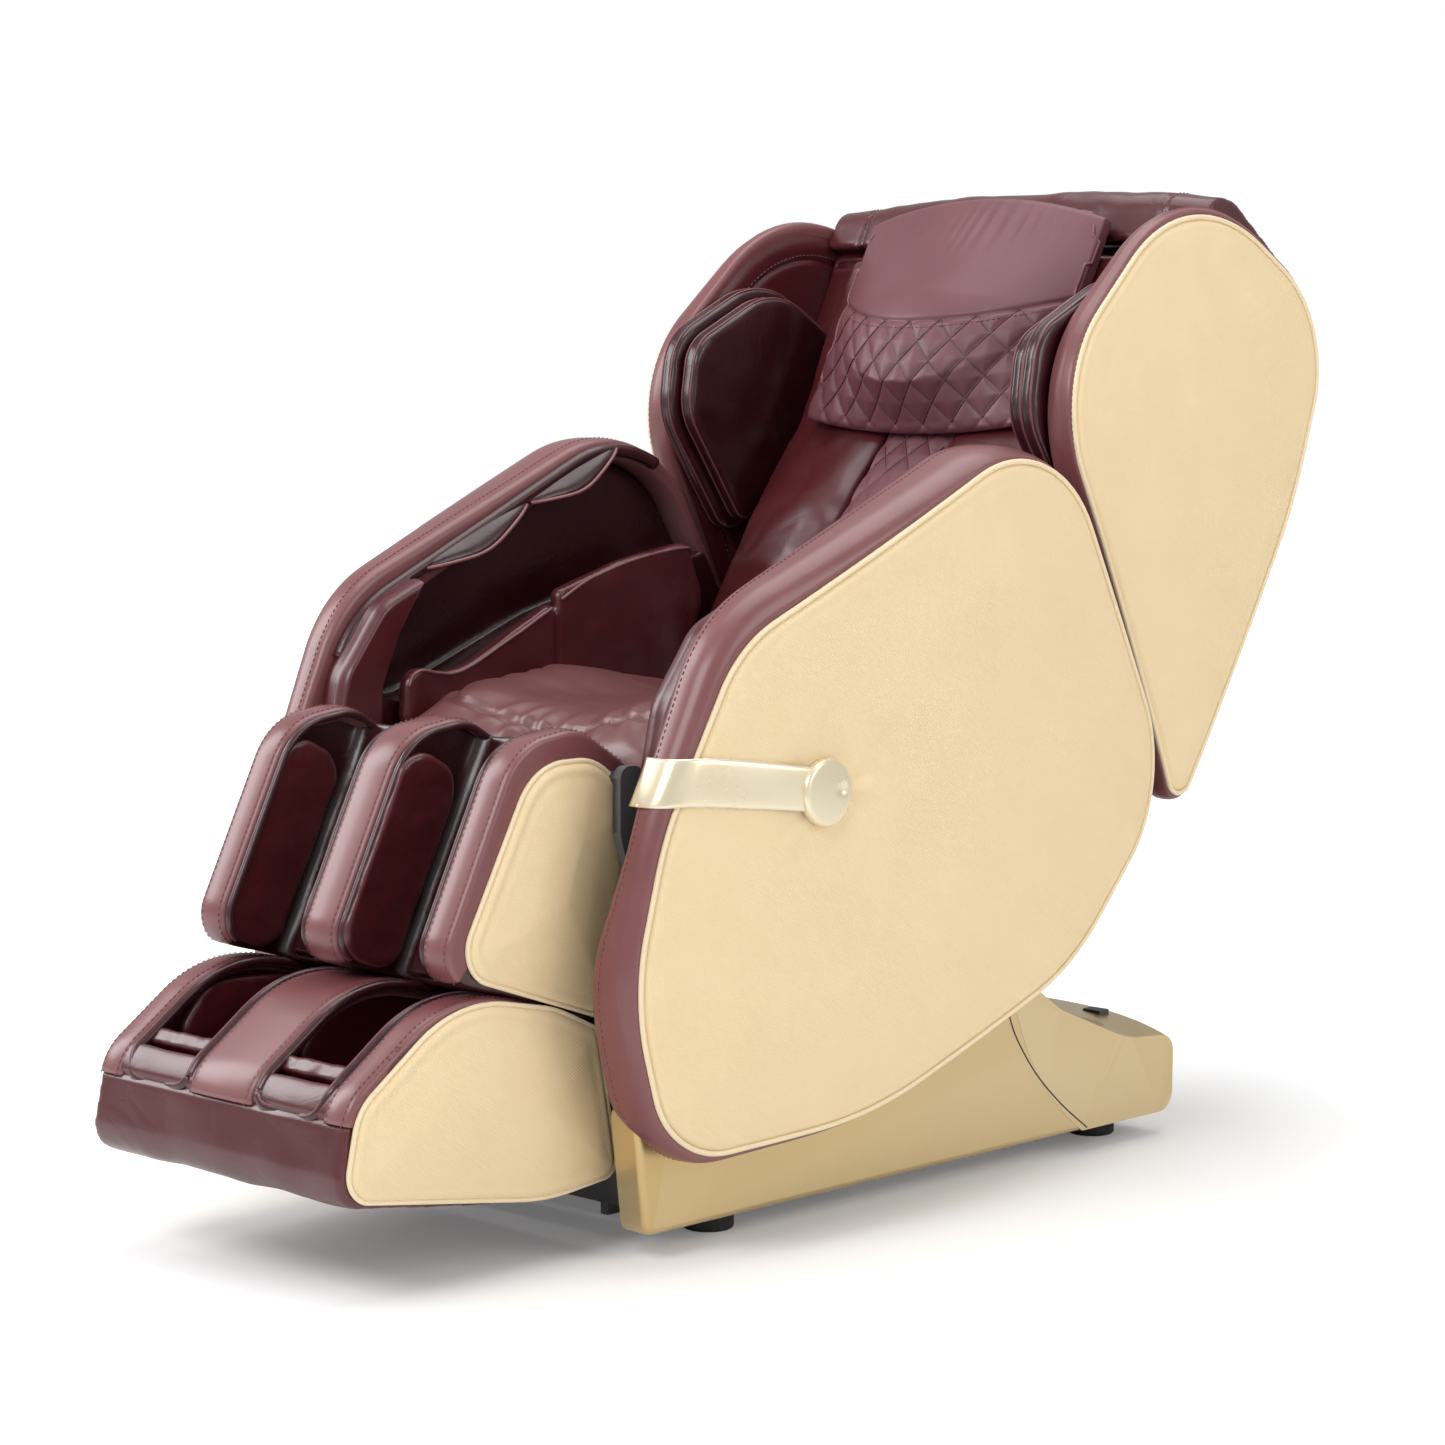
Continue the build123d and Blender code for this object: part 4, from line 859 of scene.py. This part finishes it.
def makeArmPads():
    pads = softCopy("arm_pads_left", "armPad_left", 3, 5)
    pushAlong(pads, wrinkle(getPoints(pads), 0.02, 2.4, 5.0))
    tree = surfaceOf(pads)
    lines = []
    for top in armPadTops:
        line = [(252, y, z - 3) for y, z in fromPivot(tiltPivot, top)]
        lines.append(tube(clingTo(tree, smoothLine(line, 70), 0.6), 2.2, 8, False))
    dressPair(pads, "armPad", "burgundyHide", "seat", "arm_pads")
    # painted highlight: the pads' piping is dressed in the lighter copy of the burgundy hide
    makePair("armPadPiping", joined(lines), "bandHidePaintedSheen", "seat")


strapSet = {
    "thick": 4.2, "puff": 1.4, "front": (-3, 49), "rear": (-22, 27),
    "discHigh": 5.2, "discSunk": 9, "roll": 4, "crown": 1.6, "dent": (19, 2),
    "stations": [(-1.2, 45, 0), (-3.2, 38, 0), (-3.4, 29, 0), (-2.8, 20, 0), (-0.6, 12, 0), (4, 6.5, 0),
                 (11, 2.6, 0), (20, 0, 0), (30, -1.8, 0), (42, -2.8, 0.1), (50, -3.2, 0.4), (50, -3.2, 0.96)],
}


def strapRibbon():
    # band that follows the rim's front edge and lies on the panel as far as the disc
    frontRun = armRimLoop[armRimLoop[:, 0] < disc[0] - 60]
    frontRun = frontRun[frontRun[:, 1].argsort()]
    across = np.linspace(0, 1, 15)
    puffed = strapSet["puff"] * np.sin(math.pi * across) ** 0.4
    ends = strapSet["front"], strapSet["rear"]
    frontZ, backZ = (disc[1] + low + (high - low) * across for low, high in ends)
    rings = []
    for away, depth, share in strapSet["stations"]:
        z = frontZ + (backZ - frontZ) * share
        frontY = np.interp(z, frontRun[:, 1], frontRun[:, 0])
        rings.append(np.column_stack([frontY + away + share * (disc[0] - frontY - away), z, depth - puffed]))
    top = np.stack([smoothLine(line, 60) for line in np.stack(rings, 1)], 1)
    loops = np.concatenate([top, top[:, ::-1] + np.array([0, 0, strapSet["thick"]])], 1)
    flat = loops.reshape(-1, 3)
    x = armX(flat) + puffAt(flat[:, :2], armLoop) - flat[:, 2]
    return skin(upright(flat[:, :2], x).reshape(*loops.shape), True)


def strapDisc():
    # round button with a rolled edge, a crown and a thumb dent
    radius, roll = armSet["discRadius"], strapSet["roll"]
    face = (armX(disc[None]) + puffAt(disc[None], armLoop))[0]
    turns = np.linspace(0, 2 * math.pi, 120, endpoint=False)
    rings = []
    for away in [radius, radius, radius - 0.6, radius - 2.2, radius - 4, 30, 26, 22, 18, 14, 10, 6, 3, 0.4]:
        places = disc + away * np.column_stack([np.cos(turns), np.sin(turns)])
        lift = strapSet["discHigh"] - roll * (1 - math.sqrt(1 - max(0, 1 - (radius - away) / roll) ** 2))
        lift += strapSet["crown"] * (1 - (away / radius) ** 2)
        fromDent = np.linalg.norm(places - disc - np.array(strapSet["dent"]), axis=1)
        rings.append(upright(places, face + lift - 2.6 * np.exp(-(fromDent / 6.5) ** 4)))
    rings[0][:, 0] = face - strapSet["discSunk"]
    return skin(rings, True)


def makeStrap():
    shape = joined([strapRibbon(), strapDisc()])
    makePair("armStrap", shape, "paleGold", "seat", ["arm_strap"])


makeArms()
makeArmLining()
makeFlaps()
makeArmNose()
makeArmPads()
makeStrap()
print("stage: arms")

# wings beside the back

wingSet = {
    "outline": [(218, 28, 22), (-36, 566, 165), (247, 822, 235), (537, 643, 142), (440, 400, 800)],
    "rim": [(217, 16, 24), (-45, 569, 170), (247, 838, 240), (545, 650, 146), (447, 398, 800)],
    "bag": [(84, 352, 34), (-32, 520, 90), (-16, 624, 70), (150, 706, 125), (280, 630, 40),
            (222, 468, 50)],
    "middle": (235, 500), "bagThick": 27, "widest": 369, "widestAt": 321, "radius": 5430,
    "inner": 322, "seamIn": 36,
}
wingLoop = roundedLoop(fromPivot(reclinePivot, wingSet["outline"]), 400)
wingRimLoop = roundedLoop(fromPivot(reclinePivot, wingSet["rim"]), 900)
wingMiddle = fromPivot(reclinePivot, [wingSet["middle"]])[0]


def wingX(places):
    far = places[:, 1] - reclinePivot[1] - wingSet["widestAt"]
    return wingSet["widest"] - wingSet["radius"] + np.sqrt(wingSet["radius"] ** 2 - far ** 2)


def makeWings():
    face = paddedPanel(wingLoop, wingMiddle, wingX, 11, 14)
    makeSidePanel("wing", "wing_panel", "back", wingLoop, face, wingX(wingLoop) - pipeSunk, pipeRadius)
    section = [
        (-0.6, "outer", 14), (-0.1, "outer", 10), (0.2, "outer", 6.5), (0.5, "outer", 6),
        (0.85, "outer", 9), (1.02, "outer", 15), (1.12, "across", 0.5), (1.05, "inner", 9),
        (0.9, "inner", 3), (0.3, "inner", 0.6), (-0.8, "inner", 1.5),
    ]
    band = rimBand(wingLoop, wingRimLoop, section, wingX, lambda point: wingSet["inner"])
    # painted highlight: the wing's rim band is dressed in the lighter copy of the burgundy hide
    makePair("wingRim", band, "bandHidePaintedSheen", "back", ["wing_core"])
    outerThread = onBand(wingLoop, wingRimLoop, 0.5, wingX(wingLoop) - 5.8)
    makePair("wingStitches", stitchRow(outerThread), "burgundyPiping", "back")


def makeWingLining():
    # inner face of each wing: puffed, with one sewn seam that follows the edge
    inner, seamIn = wingSet["inner"], wingSet["seamIn"]
    rings = [upright(shrunk(wingLoop, wingMiddle, 0.97), inner + 9.0)]
    for share in [1, 0.99, 0.975, 0.955] + list(np.linspace(0.93, 0.03, 60)):
        ring = shrunk(wingLoop, wingMiddle, share)
        away = distanceTo(ring, wingLoop)
        x = inner + 1.5 - 4.5 * ease(away, 0, 16) + 5 * bell(away - seamIn, 3.6)
        rings.append(upright(ring, x))
    makePair("wingLining", skin(rings, True), "burgundyHide", "back")
    seam = wingLoop - seamIn * outward(wingLoop)
    inside = distanceTo(seam, wingLoop) > seamIn - 1.5
    thread = upright(seam + 5 * outward(seam), inner - 2.6)[inside]
    makePair("wingLiningStitches", stitchRow(thread, False), "burgundyPiping", "back")


def makeShoulderBags():
    # two layers of air bag on each wing's inner face, the upper one smaller
    loop = roundedLoop(fromPivot(reclinePivot, wingSet["bag"]), 220)
    middle = loop.mean(0)
    thick = wingSet["bagThick"]
    shapes, lines = [], []
    for layer in (0, 1):
        outline = loop - 13 * layer * outward(loop)
        high = wingSet["inner"] - 3 - layer * thick
        shapes.append(cushion(outline, middle, high - thick + 2, high, 8, 2.5 * layer, 11 + layer, 2.0))
        for share in (0.2, 0.8):
            seam = upright(outline - 1.2 * outward(outline), high - share * (thick - 2))
            lines.append(tube(seam, 1.5, 6))
    # painted shade: the bags on the wing's inner face are dressed in the dark copy of the burgundy hide
    makePair("shoulderBag", joined(shapes), "paintedShadeHide", "back", ["shoulder_bags"])
    makePair("shoulderBagPiping", joined(lines), "burgundyPiping", "back")


makeWings()
makeWingLining()
makeShoulderBags()
print("stage: wings")

# back

backSet = {"barAngle": 63.6, "stripHalf": 57, "diamondWide": 38, "diamondTall": 52, "quiltDepth": 4.0,
           "quiltFrom": 40}
barAngle = math.radians(backSet["barAngle"])


def diamonds(u, v, wide, tall, depth, width):
    # quilting: how far the surface sinks near two families of slanted seams
    first, second = u / wide + v / tall, u / wide - v / tall
    result = np.zeros(len(u))
    for family in (first, second):
        away = np.abs(family - np.round(family)) * wide * tall / math.hypot(wide, tall)
        result = np.minimum(result, -depth * np.exp(-away / width))
    return result


def quiltLines(tree, wide, tall, half, depth, place, aim):
    # sewn lines of the quilting, laid on the surface; place turns (across, down) into a point
    lines = []
    for lean in (1, -1):
        for n in range(-24, 25):
            run = [(wide * (n - lean * v / tall), v) for v in np.linspace(1, depth, 90)]
            path = [place(u, v) - 120 * aim for u, v in run if abs(u) <= half]
            laid = castOnto(tree, path, aim, 0.1)
            if len(laid) > 5:
                lines.append(tube(laid, 0.85, 5, False))
    return joined(lines)


def alongBack(points):
    y, z = points[:, 1] - reclinePivot[0], points[:, 2] - reclinePivot[1]
    return y * math.cos(barAngle) + z * math.sin(barAngle)


def makeBackPads():
    # the two long pads, with slow folds and their inner edges drawn in beside the strip
    def push(points):
        edge = -3 * bell(np.abs(points[:, 0]) - backSet["stripHalf"], 9)
        return wrinkle(points, 0.011, 5.0, 7.0) + wrinkle(points, 0.03, 1.6, 9.0) + edge

    for side in ("left", "right"):
        makeSoft(f"back_pad_{side}", f"backPad_{side}", (4, 6), push, "burgundyHide", "back")


def makeBackStrip():
    # quilted strip up the middle, sunk along its diamonds on the front only
    strip = softCopy("back_strip", "backStrip", 2.6, 4)
    points, normals = getPoints(strip), normalsOf(strip)
    front = np.clip(-normals[:, 1], 0, 1) ** 0.5
    wide, tall = backSet["diamondWide"], backSet["diamondTall"]
    pattern = diamonds(points[:, 0], alongBack(points), wide, tall, backSet["quiltDepth"], 6.5)
    pushAlong(strip, (pattern + 1.4) * front)
    up = np.array([0, math.cos(barAngle), math.sin(barAngle)])
    low = np.array([0, *reclinePivot]) + backSet["quiltFrom"] * up
    start = tall - backSet["quiltFrom"] % tall
    quilting = quiltLines(surfaceOf(strip), wide, tall, backSet["stripHalf"] - 5, 700,
                          lambda u, v: low + np.array([u, 0, 0]) + up * (v + start),
                          np.array([0, math.sin(barAngle), -math.cos(barAngle)]))
    # sewn seams and painted shade: the quilting's lines are thin cords dressed in the dark copy of the
    # burgundy hide, so they also paint the shade in its grooves
    makePiece("stripQuiltSeamsAndShade", quilting, "paintedShadeHide", "back")
    dress(strip, "pillowHide", "back", ["back_strip"])


topSet = {"seamAt": 252, "housingSeam": 150,
          "thread": [(316, 770), (345, 830), (430, 790), (500, 715)]}
bolsterSet = {"along": (430, 850), "forward": (-22, 40), "low": 236, "high": 321, "radius": 22}


def makeBolsters():
    # soft filling between the back's pads and the wings
    ahead = np.array([-math.sin(barAngle), math.cos(barAngle)])
    up = np.array([math.cos(barAngle), math.sin(barAngle)])
    first, last = bolsterSet["along"]
    back, front = bolsterSet["forward"]
    corners = [(*(np.array(reclinePivot) + up * a + ahead * b), bolsterSet["radius"])
               for a, b in ((first, back), (first, front), (last, front), (last, back))]
    loop = roundedLoop(corners, 160)
    shape = cushion(loop, loop.mean(0), bolsterSet["low"], bolsterSet["high"], 9, 0, 3.0, 1.5)
    makePair("backBolster", shape, "burgundyHide", "back")


def makeHousing():
    # upholstered shell behind the back, with two upright seams
    def push(points):
        seam = bell(np.abs(points[:, 0]) - topSet["housingSeam"], 3.4)
        return wrinkle(points, 0.006, 3.0, 6.0) - 3.0 * seam

    makeSoft("back_housing", "backHousing", (5.5, 6), push, "burgundyHide", "back")


def makeTopCover():
    cover = softCopy("back_top_cover", "topCover", 4.5, 8)
    points = getPoints(cover)
    seam = bell(np.abs(points[:, 0]) - topSet["seamAt"], 3.6)
    pushAlong(cover, wrinkle(points, 0.009, 5, 2.0) + wrinkle(points, 0.03, 1.4, 4.0) - 3.4 * seam)
    tree = surfaceOf(cover)
    threads = []
    for side in (-1, 1):
        x = side * (topSet["seamAt"] + 7)
        line = smoothLine([(x, *spot) for spot in fromPivot(reclinePivot, topSet["thread"])], 90)
        threads.append(stitchRow(clingTo(tree, line, 0.3), False))
    dress(cover, "burgundyHide", "back", ["back_top_cover"])
    makePiece("topCoverStitches", joined(threads), "burgundyPiping", "back")


# head pillow

pillowSet = {"half": 196, "tall": 275, "run": 310, "seamMiddle": 0.50, "seamSide": 0.40, "diamondWide": 47,
             "diamondTall": 60, "quiltDepth": 4.2, "front": ([0, 0.05, 0.5, 1.0], [-8, -14, -88, -152]),
             "edge": [(-186, -4, 40), (186, -4, 40), (190, -262, 60), (-190, -262, 60)]}


def pillowSeam(across):
    # how far down the sewn line lies, in parts of the height, at a share of the half width
    return pillowSet["seamSide"] + (pillowSet["seamMiddle"] - pillowSet["seamSide"]) * (1 - across ** 2)


def makePillow():
    # plain above its sewn line and quilted below it, with a piped edge
    half, high, run = pillowSet["half"], pillowSet["tall"], pillowSet["run"]
    wide, tall = pillowSet["diamondWide"], pillowSet["diamondTall"]
    pillow = softCopy("head_pillow", "headPillow", 2.3, 4)
    points, normals = getPoints(pillow), normalsOf(pillow)
    x = points[:, 0]
    down = (pillowHinge[1] - points[:, 2]) / high
    front = np.clip(-normals[:, 1] * 0.9 + normals[:, 2] * 0.5, 0, 1) ** 0.5
    seam = pillowSeam(x / half)
    below = ease(down - seam, -0.004, 0.012)
    quilt = diamonds(x, down * run - run * seam, wide, tall, pillowSet["quiltDepth"], 8.0)
    line = -3.4 * bell((down - seam) * high, 3.2)
    gathers = np.sin(x * 0.30 + 1.7 * np.sin(x * 0.05)) * bell(down - 0.06, 0.09)
    gathers *= 0.8 * bell(x - 50, 95)
    plain = wrinkle(points, 0.009, 2.2, 1.0)
    pushAlong(pillow, (below * (quilt + 1.4) + line + (1 - below) * (gathers + plain)) * front)
    tree = surfaceOf(pillow)
    forward = np.array([0, 1.0, 0])
    path = [(share * half, pillowHinge[0] - 350, pillowHinge[1] - high * pillowSeam(share) - 9)
            for share in np.linspace(-0.9, 0.9, 60)]
    threads = stitchRow(castOnto(tree, path, forward, 0.3), False, 7, 4.4)
    edge = []
    for across, z in roundedLoop(pillowSet["edge"], 260):
        y = pillowHinge[0] + np.interp(-z / high, *pillowSet["front"])
        edge.append((across * 1.01, y, pillowHinge[1] + z))
    piping = tube(clingTo(tree, edge, 0.5), 2.4)

    def onPillow(u, v):
        return np.array([u, pillowHinge[0] - 80, pillowHinge[1] - high * (v / run + pillowSeam(u / half))])

    quilting = quiltLines(tree, wide, tall, half - 10, 150, onPillow, forward)
    # sewn seams and painted shade: the quilting's lines are thin cords dressed in the dark copy of the
    # burgundy hide, so they also paint the shade in its grooves
    makePiece("pillowQuiltSeamsAndShade", quilting, "paintedShadeHide", "pillow")
    dress(pillow, "pillowHide", "pillow", ["head_pillow"])
    makePiece("pillowPiping", piping, "burgundyPiping", "pillow")
    makePiece("pillowStitches", threads, "burgundyPiping", "pillow")


makeBackPads()
makeBackStrip()
makeBolsters()
makeHousing()
makeTopCover()
makePillow()
print("stage: back and pillow")

# seat


def puff(piece, pressure, cap, frames=20):
    # blow the pad up as cloth, and keep each point within a cap of where it was
    before = getPoints(piece)
    cloth = piece.modifiers.new("cloth", "CLOTH")
    settings = cloth.settings
    settings.use_pressure = True
    settings.uniform_pressure_force = pressure
    settings.effector_weights.gravity = 0
    settings.quality = 5
    cloth.point_cache.frame_start = 1
    cloth.point_cache.frame_end = frames
    for step in range(1, frames + 1):
        bpy.context.scene.frame_set(step)
    applyModifiers(piece)
    bpy.context.scene.frame_set(1)
    move = getPoints(piece) - before
    far = np.linalg.norm(move, axis=1)[:, None]
    setPoints(piece, before + move * np.minimum(1, cap / np.maximum(far, 1e-6)))


seatSet = {"half": 208, "front": -290, "rear": 110, "radius": 60, "roll": -318, "centre": -90}


def makeSeat():
    # crowned pad with a sewn border that gathers the hide round it, and crumples over its front
    seat = softCopy("seat_pad", "seatPad", 6, 5, 4)
    puff(seat, 4, 14)
    points, normals = getPoints(seat), normalsOf(seat)
    up = np.clip(normals[:, 2], 0, 1)
    half, front, rear = seatSet["half"], tiltPivot[0] + seatSet["front"], tiltPivot[0] + seatSet["rear"]
    border = roundedLoop([(x, y, seatSet["radius"]) for x, y in
                          ((-half, front), (half, front), (half, rear), (-half, rear))], 300)
    away = distanceTo(points[:, :2], border)
    turn = np.arctan2(points[:, 1] - tiltPivot[0] - seatSet["centre"], points[:, 0])
    gathers = 2.6 * np.sin(30 * turn + 2 * np.sin(7 * turn)) * bell(away - 12, 18)
    seam = -8 * bell(away, 6)
    frontRoll = bell(points[:, 1] - tiltPivot[0] - seatSet["roll"], 26) * (1 - up) * 3
    ripples = wrinkle(points * np.array([0.5, 2.2, 1]), 0.02, 1.0, 8.0)
    crumple = wrinkle(points, 0.009, 6.0, 3.0) + 0.8 * ripples
    pushAlong(seat, (seam + gathers) * up + crumple * (0.35 + 0.65 * up) + frontRoll)
    # painted highlight: the seat is dressed in the lighter copy of the burgundy hide
    dress(seat, "seatHidePaintedSheen", "seat", ["seat_pad"])


makeSeat()
print("stage: seat")

# calf rest

legSet = {"half": 214, "panelX": 223, "panelThick": 11, "pipeX": 217, "pipeRadius": 3.0}
calfSet = {
    "outline": [(-232, -191, 38), (-118, 22, 100), (-30, 22, 70), (35, -30, 24), (-5, -269, 18)],
    "shell": [(-258, -196, 40), (-140, 45, 90), (-50, 57, 60), (27, 10, 26), (-7, -273, 20)],
    "bands": [(173, 215, (9, 36)), (-27, 27, (9, 9)), (-215, -173, (36, 9))],
    "bandEnds": [(-246, -222), (22, 12)],
}
calfLoop = roundedLoop(fromPivot(calfPivot, calfSet["outline"]), 260)
calfShellLoop = roundedLoop(fromPivot(calfPivot, calfSet["shell"]), 600)


def upperStretch(loop, ends):
    # every third point of a closed outline's upper part, between the points nearest two spots
    spots = np.array(fromPivot(calfPivot, ends))
    first, last = (np.argmin(np.linalg.norm(loop - spot, axis=1)) for spot in spots)
    forward = [(first + i) % len(loop) for i in range((last - first) % len(loop) + 1)]
    backward = [(first - i) % len(loop) for i in range((first - last) % len(loop) + 1)]
    return min((forward, backward), key=lambda run: -sum(loop[i][1] for i in run) / len(run))[::3]


def offLine(loop, picks, x, rise):
    # path over the picked points of an outline, raised off it
    normals = outward(loop)
    return [(x, *(loop[i] + rise * normals[i])) for i in picks]


def edgeBand(loop, picks, low, high, drops, rise=2.2):
    # strip of hide laid over the front edge of a wall, its sides turned down
    normals = outward(loop)
    wide = high - low
    profile = [(0, -drops[0]), (-0.6, -4), (1.4, 0.2), (0.16 * wide, rise), (0.5 * wide, rise + 1.2),
               (0.84 * wide, rise), (wide - 1.4, 0.2), (wide + 0.6, -4), (wide, -drops[1])]
    profile = smoothLine(profile, 26)
    return skin([[(low + a, *(loop[i] + normals[i] * b)) for a, b in profile] for i in picks], True)


def makeBands(name, body, loop, picks, bands):
    # a strip over each wall's front edge, with a row of stitches along both its sides
    shapes, threads = [], []
    for low, high, drops in bands:
        shapes.append(edgeBand(loop, picks, low, high, drops))
        for x in (low + 5.5, high - 5.5):
            threads.append(stitchRow(offLine(loop, picks, x, 2.9), False, radius=0.5))
    # painted highlight: the strips over the walls are dressed in the lighter copy of the burgundy hide
    makePiece(f"{name}Bands", joined(shapes), "bandHidePaintedSheen", body)
    makePiece(f"{name}Stitches", joined(threads), "burgundyPiping", body)


def makeLegSide(name, node, body, loop, middle, puffed):
    # cream side of the calf or foot rest
    def outerX(places):
        return legSet["panelX"] + puffed * ease(distanceTo(places, loop), 0, 70)
    face = paddedPanel(loop, middle, outerX, legSet["panelThick"])
    makeSidePanel(name, node, body, loop, face, legSet["pipeX"], legSet["pipeRadius"])


def makeCalf():
    # painted shade: the shell round the troughs is dressed in the dark copy of the burgundy hide
    makeSoft("calf_shell", "calfShell", (3.6, 7), lambda points: wrinkle(points, 0.018, 2.6, 2.0), "paintedShadeHide",
             "calf")
    makeLegSide("calf", "calf_panel", "calf", calfLoop, calfLoop.mean(0), 5.0)
    picks = upperStretch(calfShellLoop, calfSet["bandEnds"])
    sides = [x for low, high, _ in calfSet["bands"] for x in (low - 5, high + 5)]
    lips = [tube(offLine(calfShellLoop, picks, x, -5), 4.6, 10, False)
            for x in sides if abs(x) < legSet["half"] - 10]
    # painted shade: the lips down into the troughs are dressed in the dark copy of the burgundy hide
    makePiece("calfLips", joined(lips), "paintedShadeHide", "calf")
    makeBands("calf", "calf", calfShellLoop, picks, calfSet["bands"])


def folded(folds, seed):
    # a push of wide folds with finer ones on them
    return lambda points: wrinkle(points, 0.028, folds, seed) + wrinkle(points, 0.07, folds * 0.35, seed + 5)


makeCalf()
makeSoft("calf_bags", "calfBags", (2.6, 4), folded(1.8, 3.0), "burgundyHide", "calf")
# painted shade: the cushions deep in the troughs are dressed in the dark copy of the burgundy hide
makeSoft("calf_cushions", "calfCushions", (3.0, 5), folded(2.0, 6.0), "paintedShadeHide", "calf")
print("stage: calf rest")

# foot rest

footSet = {
    "outline": [(-389, -412, 30), (-369, -320, 60), (-231, -220, 180), (-90, -249, 150),
                (-27, -279, 15), (3, -445, 18), (-105, -456, 300)],
    "shell": [(-402, -420, 34), (-380, -312, 64), (-238, -211, 180), (-90, -247, 150), (-25, -281, 15),
              (5, -450, 18), (-105, -461, 300)],
    "middle": (-190, -345), "well": (60, 169), "seamZ": -332,
    "bands": [(176, 214.6, (12, 30)), (-53, 53, (16, 16)), (-214.6, -176, (30, 12))],
    "bandEnds": [(-388, -334), (-40, -272)],
}
footLoop = roundedLoop(fromPivot(calfPivot, footSet["outline"]), 300)
footShellLoop = roundedLoop(fromPivot(calfPivot, footSet["shell"]), 600)


def makeFootLips(picks, seamZ):
    # a rolled edge round each well, with a thin cord on its toe side
    loop = footShellLoop
    climb = picks if loop[picks[0]][1] < loop[picks[-1]][1] else picks[::-1]
    climb = [i for i in climb if loop[i][1] > seamZ + 8]
    toe = loop[climb[0]] - 3 * outward(loop)[climb[0]]
    lips, cords = [], []
    for side in (1, -1):
        inner, outer = side * footSet["well"][0], side * footSet["well"][1]
        up, down = offLine(loop, climb, inner, -3), offLine(loop, climb[::-1], outer, -3)
        turn = [(outer - side * 14, toe[0] - 3, toe[1] - 12), ((inner + outer) / 2, toe[0] + 1, toe[1] - 15),
                (inner + side * 14, toe[0] - 3, toe[1] - 12)]
        path = smoothLine(up[::4] + down[::4] + turn + up[:1], 240)
        lips.append(tube(path, 6.5, 12, False))
        cords.append(tube(path + np.array([0, -3.6, 4.4]), 1.5, 6, False))
    # painted shade: the lips round the foot wells are dressed in the dark copy of the burgundy hide
    makePiece("footLips", joined(lips), "paintedShadeHide", "foot")
    makePiece("footLipPiping", joined(cords), "burgundyPiping", "foot")


def makeFoot():
    # shell with a seam across its toe face, side panels, lips and bands
    seamZ = calfPivot[1] + footSet["seamZ"]

    def push(points):
        front = ease(-(points[:, 1] - calfPivot[0]), 300, 350)
        return wrinkle(points, 0.015, 3.0, 4.0) - 3.5 * bell(points[:, 2] - seamZ, 3.2) * front

    makeSoft("foot_shell", "footShell", (3.6, 7), push, "burgundyHide", "foot")
    middle = fromPivot(calfPivot, [footSet["middle"]])[0]
    makeLegSide("foot", "foot_panel", "foot", footLoop, middle, 6)
    picks = upperStretch(footShellLoop, footSet["bandEnds"])
    makeFootLips(picks, seamZ)
    makeBands("foot", "foot", footShellLoop, picks, footSet["bands"])


makeFoot()
makeSoft("foot_pads", "footPads", (2.6, 4), folded(2.0, 2.0), "burgundyHide", "foot")
print("stage: foot rest")

# hard pieces keep their solids and get their own finish

hardNodes = {
    "goldShell": ["base_side_shell_left", "base_side_shell_right", "base_rear_cover"],
    "blackPlastic": ["base_front_cover", "power_box", "air_pump_box", "power_inlet", "power_switch",
                     "seat_base"],
    "rubber": ["base_feet", "transport_wheels", "massage_heads"],
    "paintedSteel": ["base_frame", "carriage_frame", "seat_frame", "back_frame", "massage_carriage"],
    "brightSteel": ["slide_rails", "slide_actuator_rod", "tilt_actuator_rod", "back_actuator_rod",
                    "calf_actuator_rod"],
    "castAluminium": ["slide_actuator", "tilt_actuator", "back_actuator", "calf_actuator"],
}


def finishHardNodes():
    for material, nodes in hardNodes.items():
        for name in nodes:
            paint(frame["nodes"][name], material)


seamPath = [(209, 206), (211, 202), (229, 165), (268, 115), (318, 70), (369, 33)]


def makeBaseSeams():
    # dark joint between the base's side shell and its tail
    trees = [surfaceOf(frame["nodes"][name]) for name in ("base_side_shell_left", "base_rear_cover")]
    laid = []
    for y, z in smoothLine([(y + datumY, z) for y, z in seamPath], 60):
        spots = [tree.ray_cast(Vector((600, y, z)), Vector((-1, 0, 0)))[0] for tree in trees]
        spots = [spot.x for spot in spots if spot is not None]
        if spots:
            laid.append((max(spots) - 0.2, y, z))
    makePair("baseSeam", tube(laid, 1.2, 6, False), "blackPlastic", "base")


finishHardNodes()
makeBaseSeams()
print("stage: hard pieces")
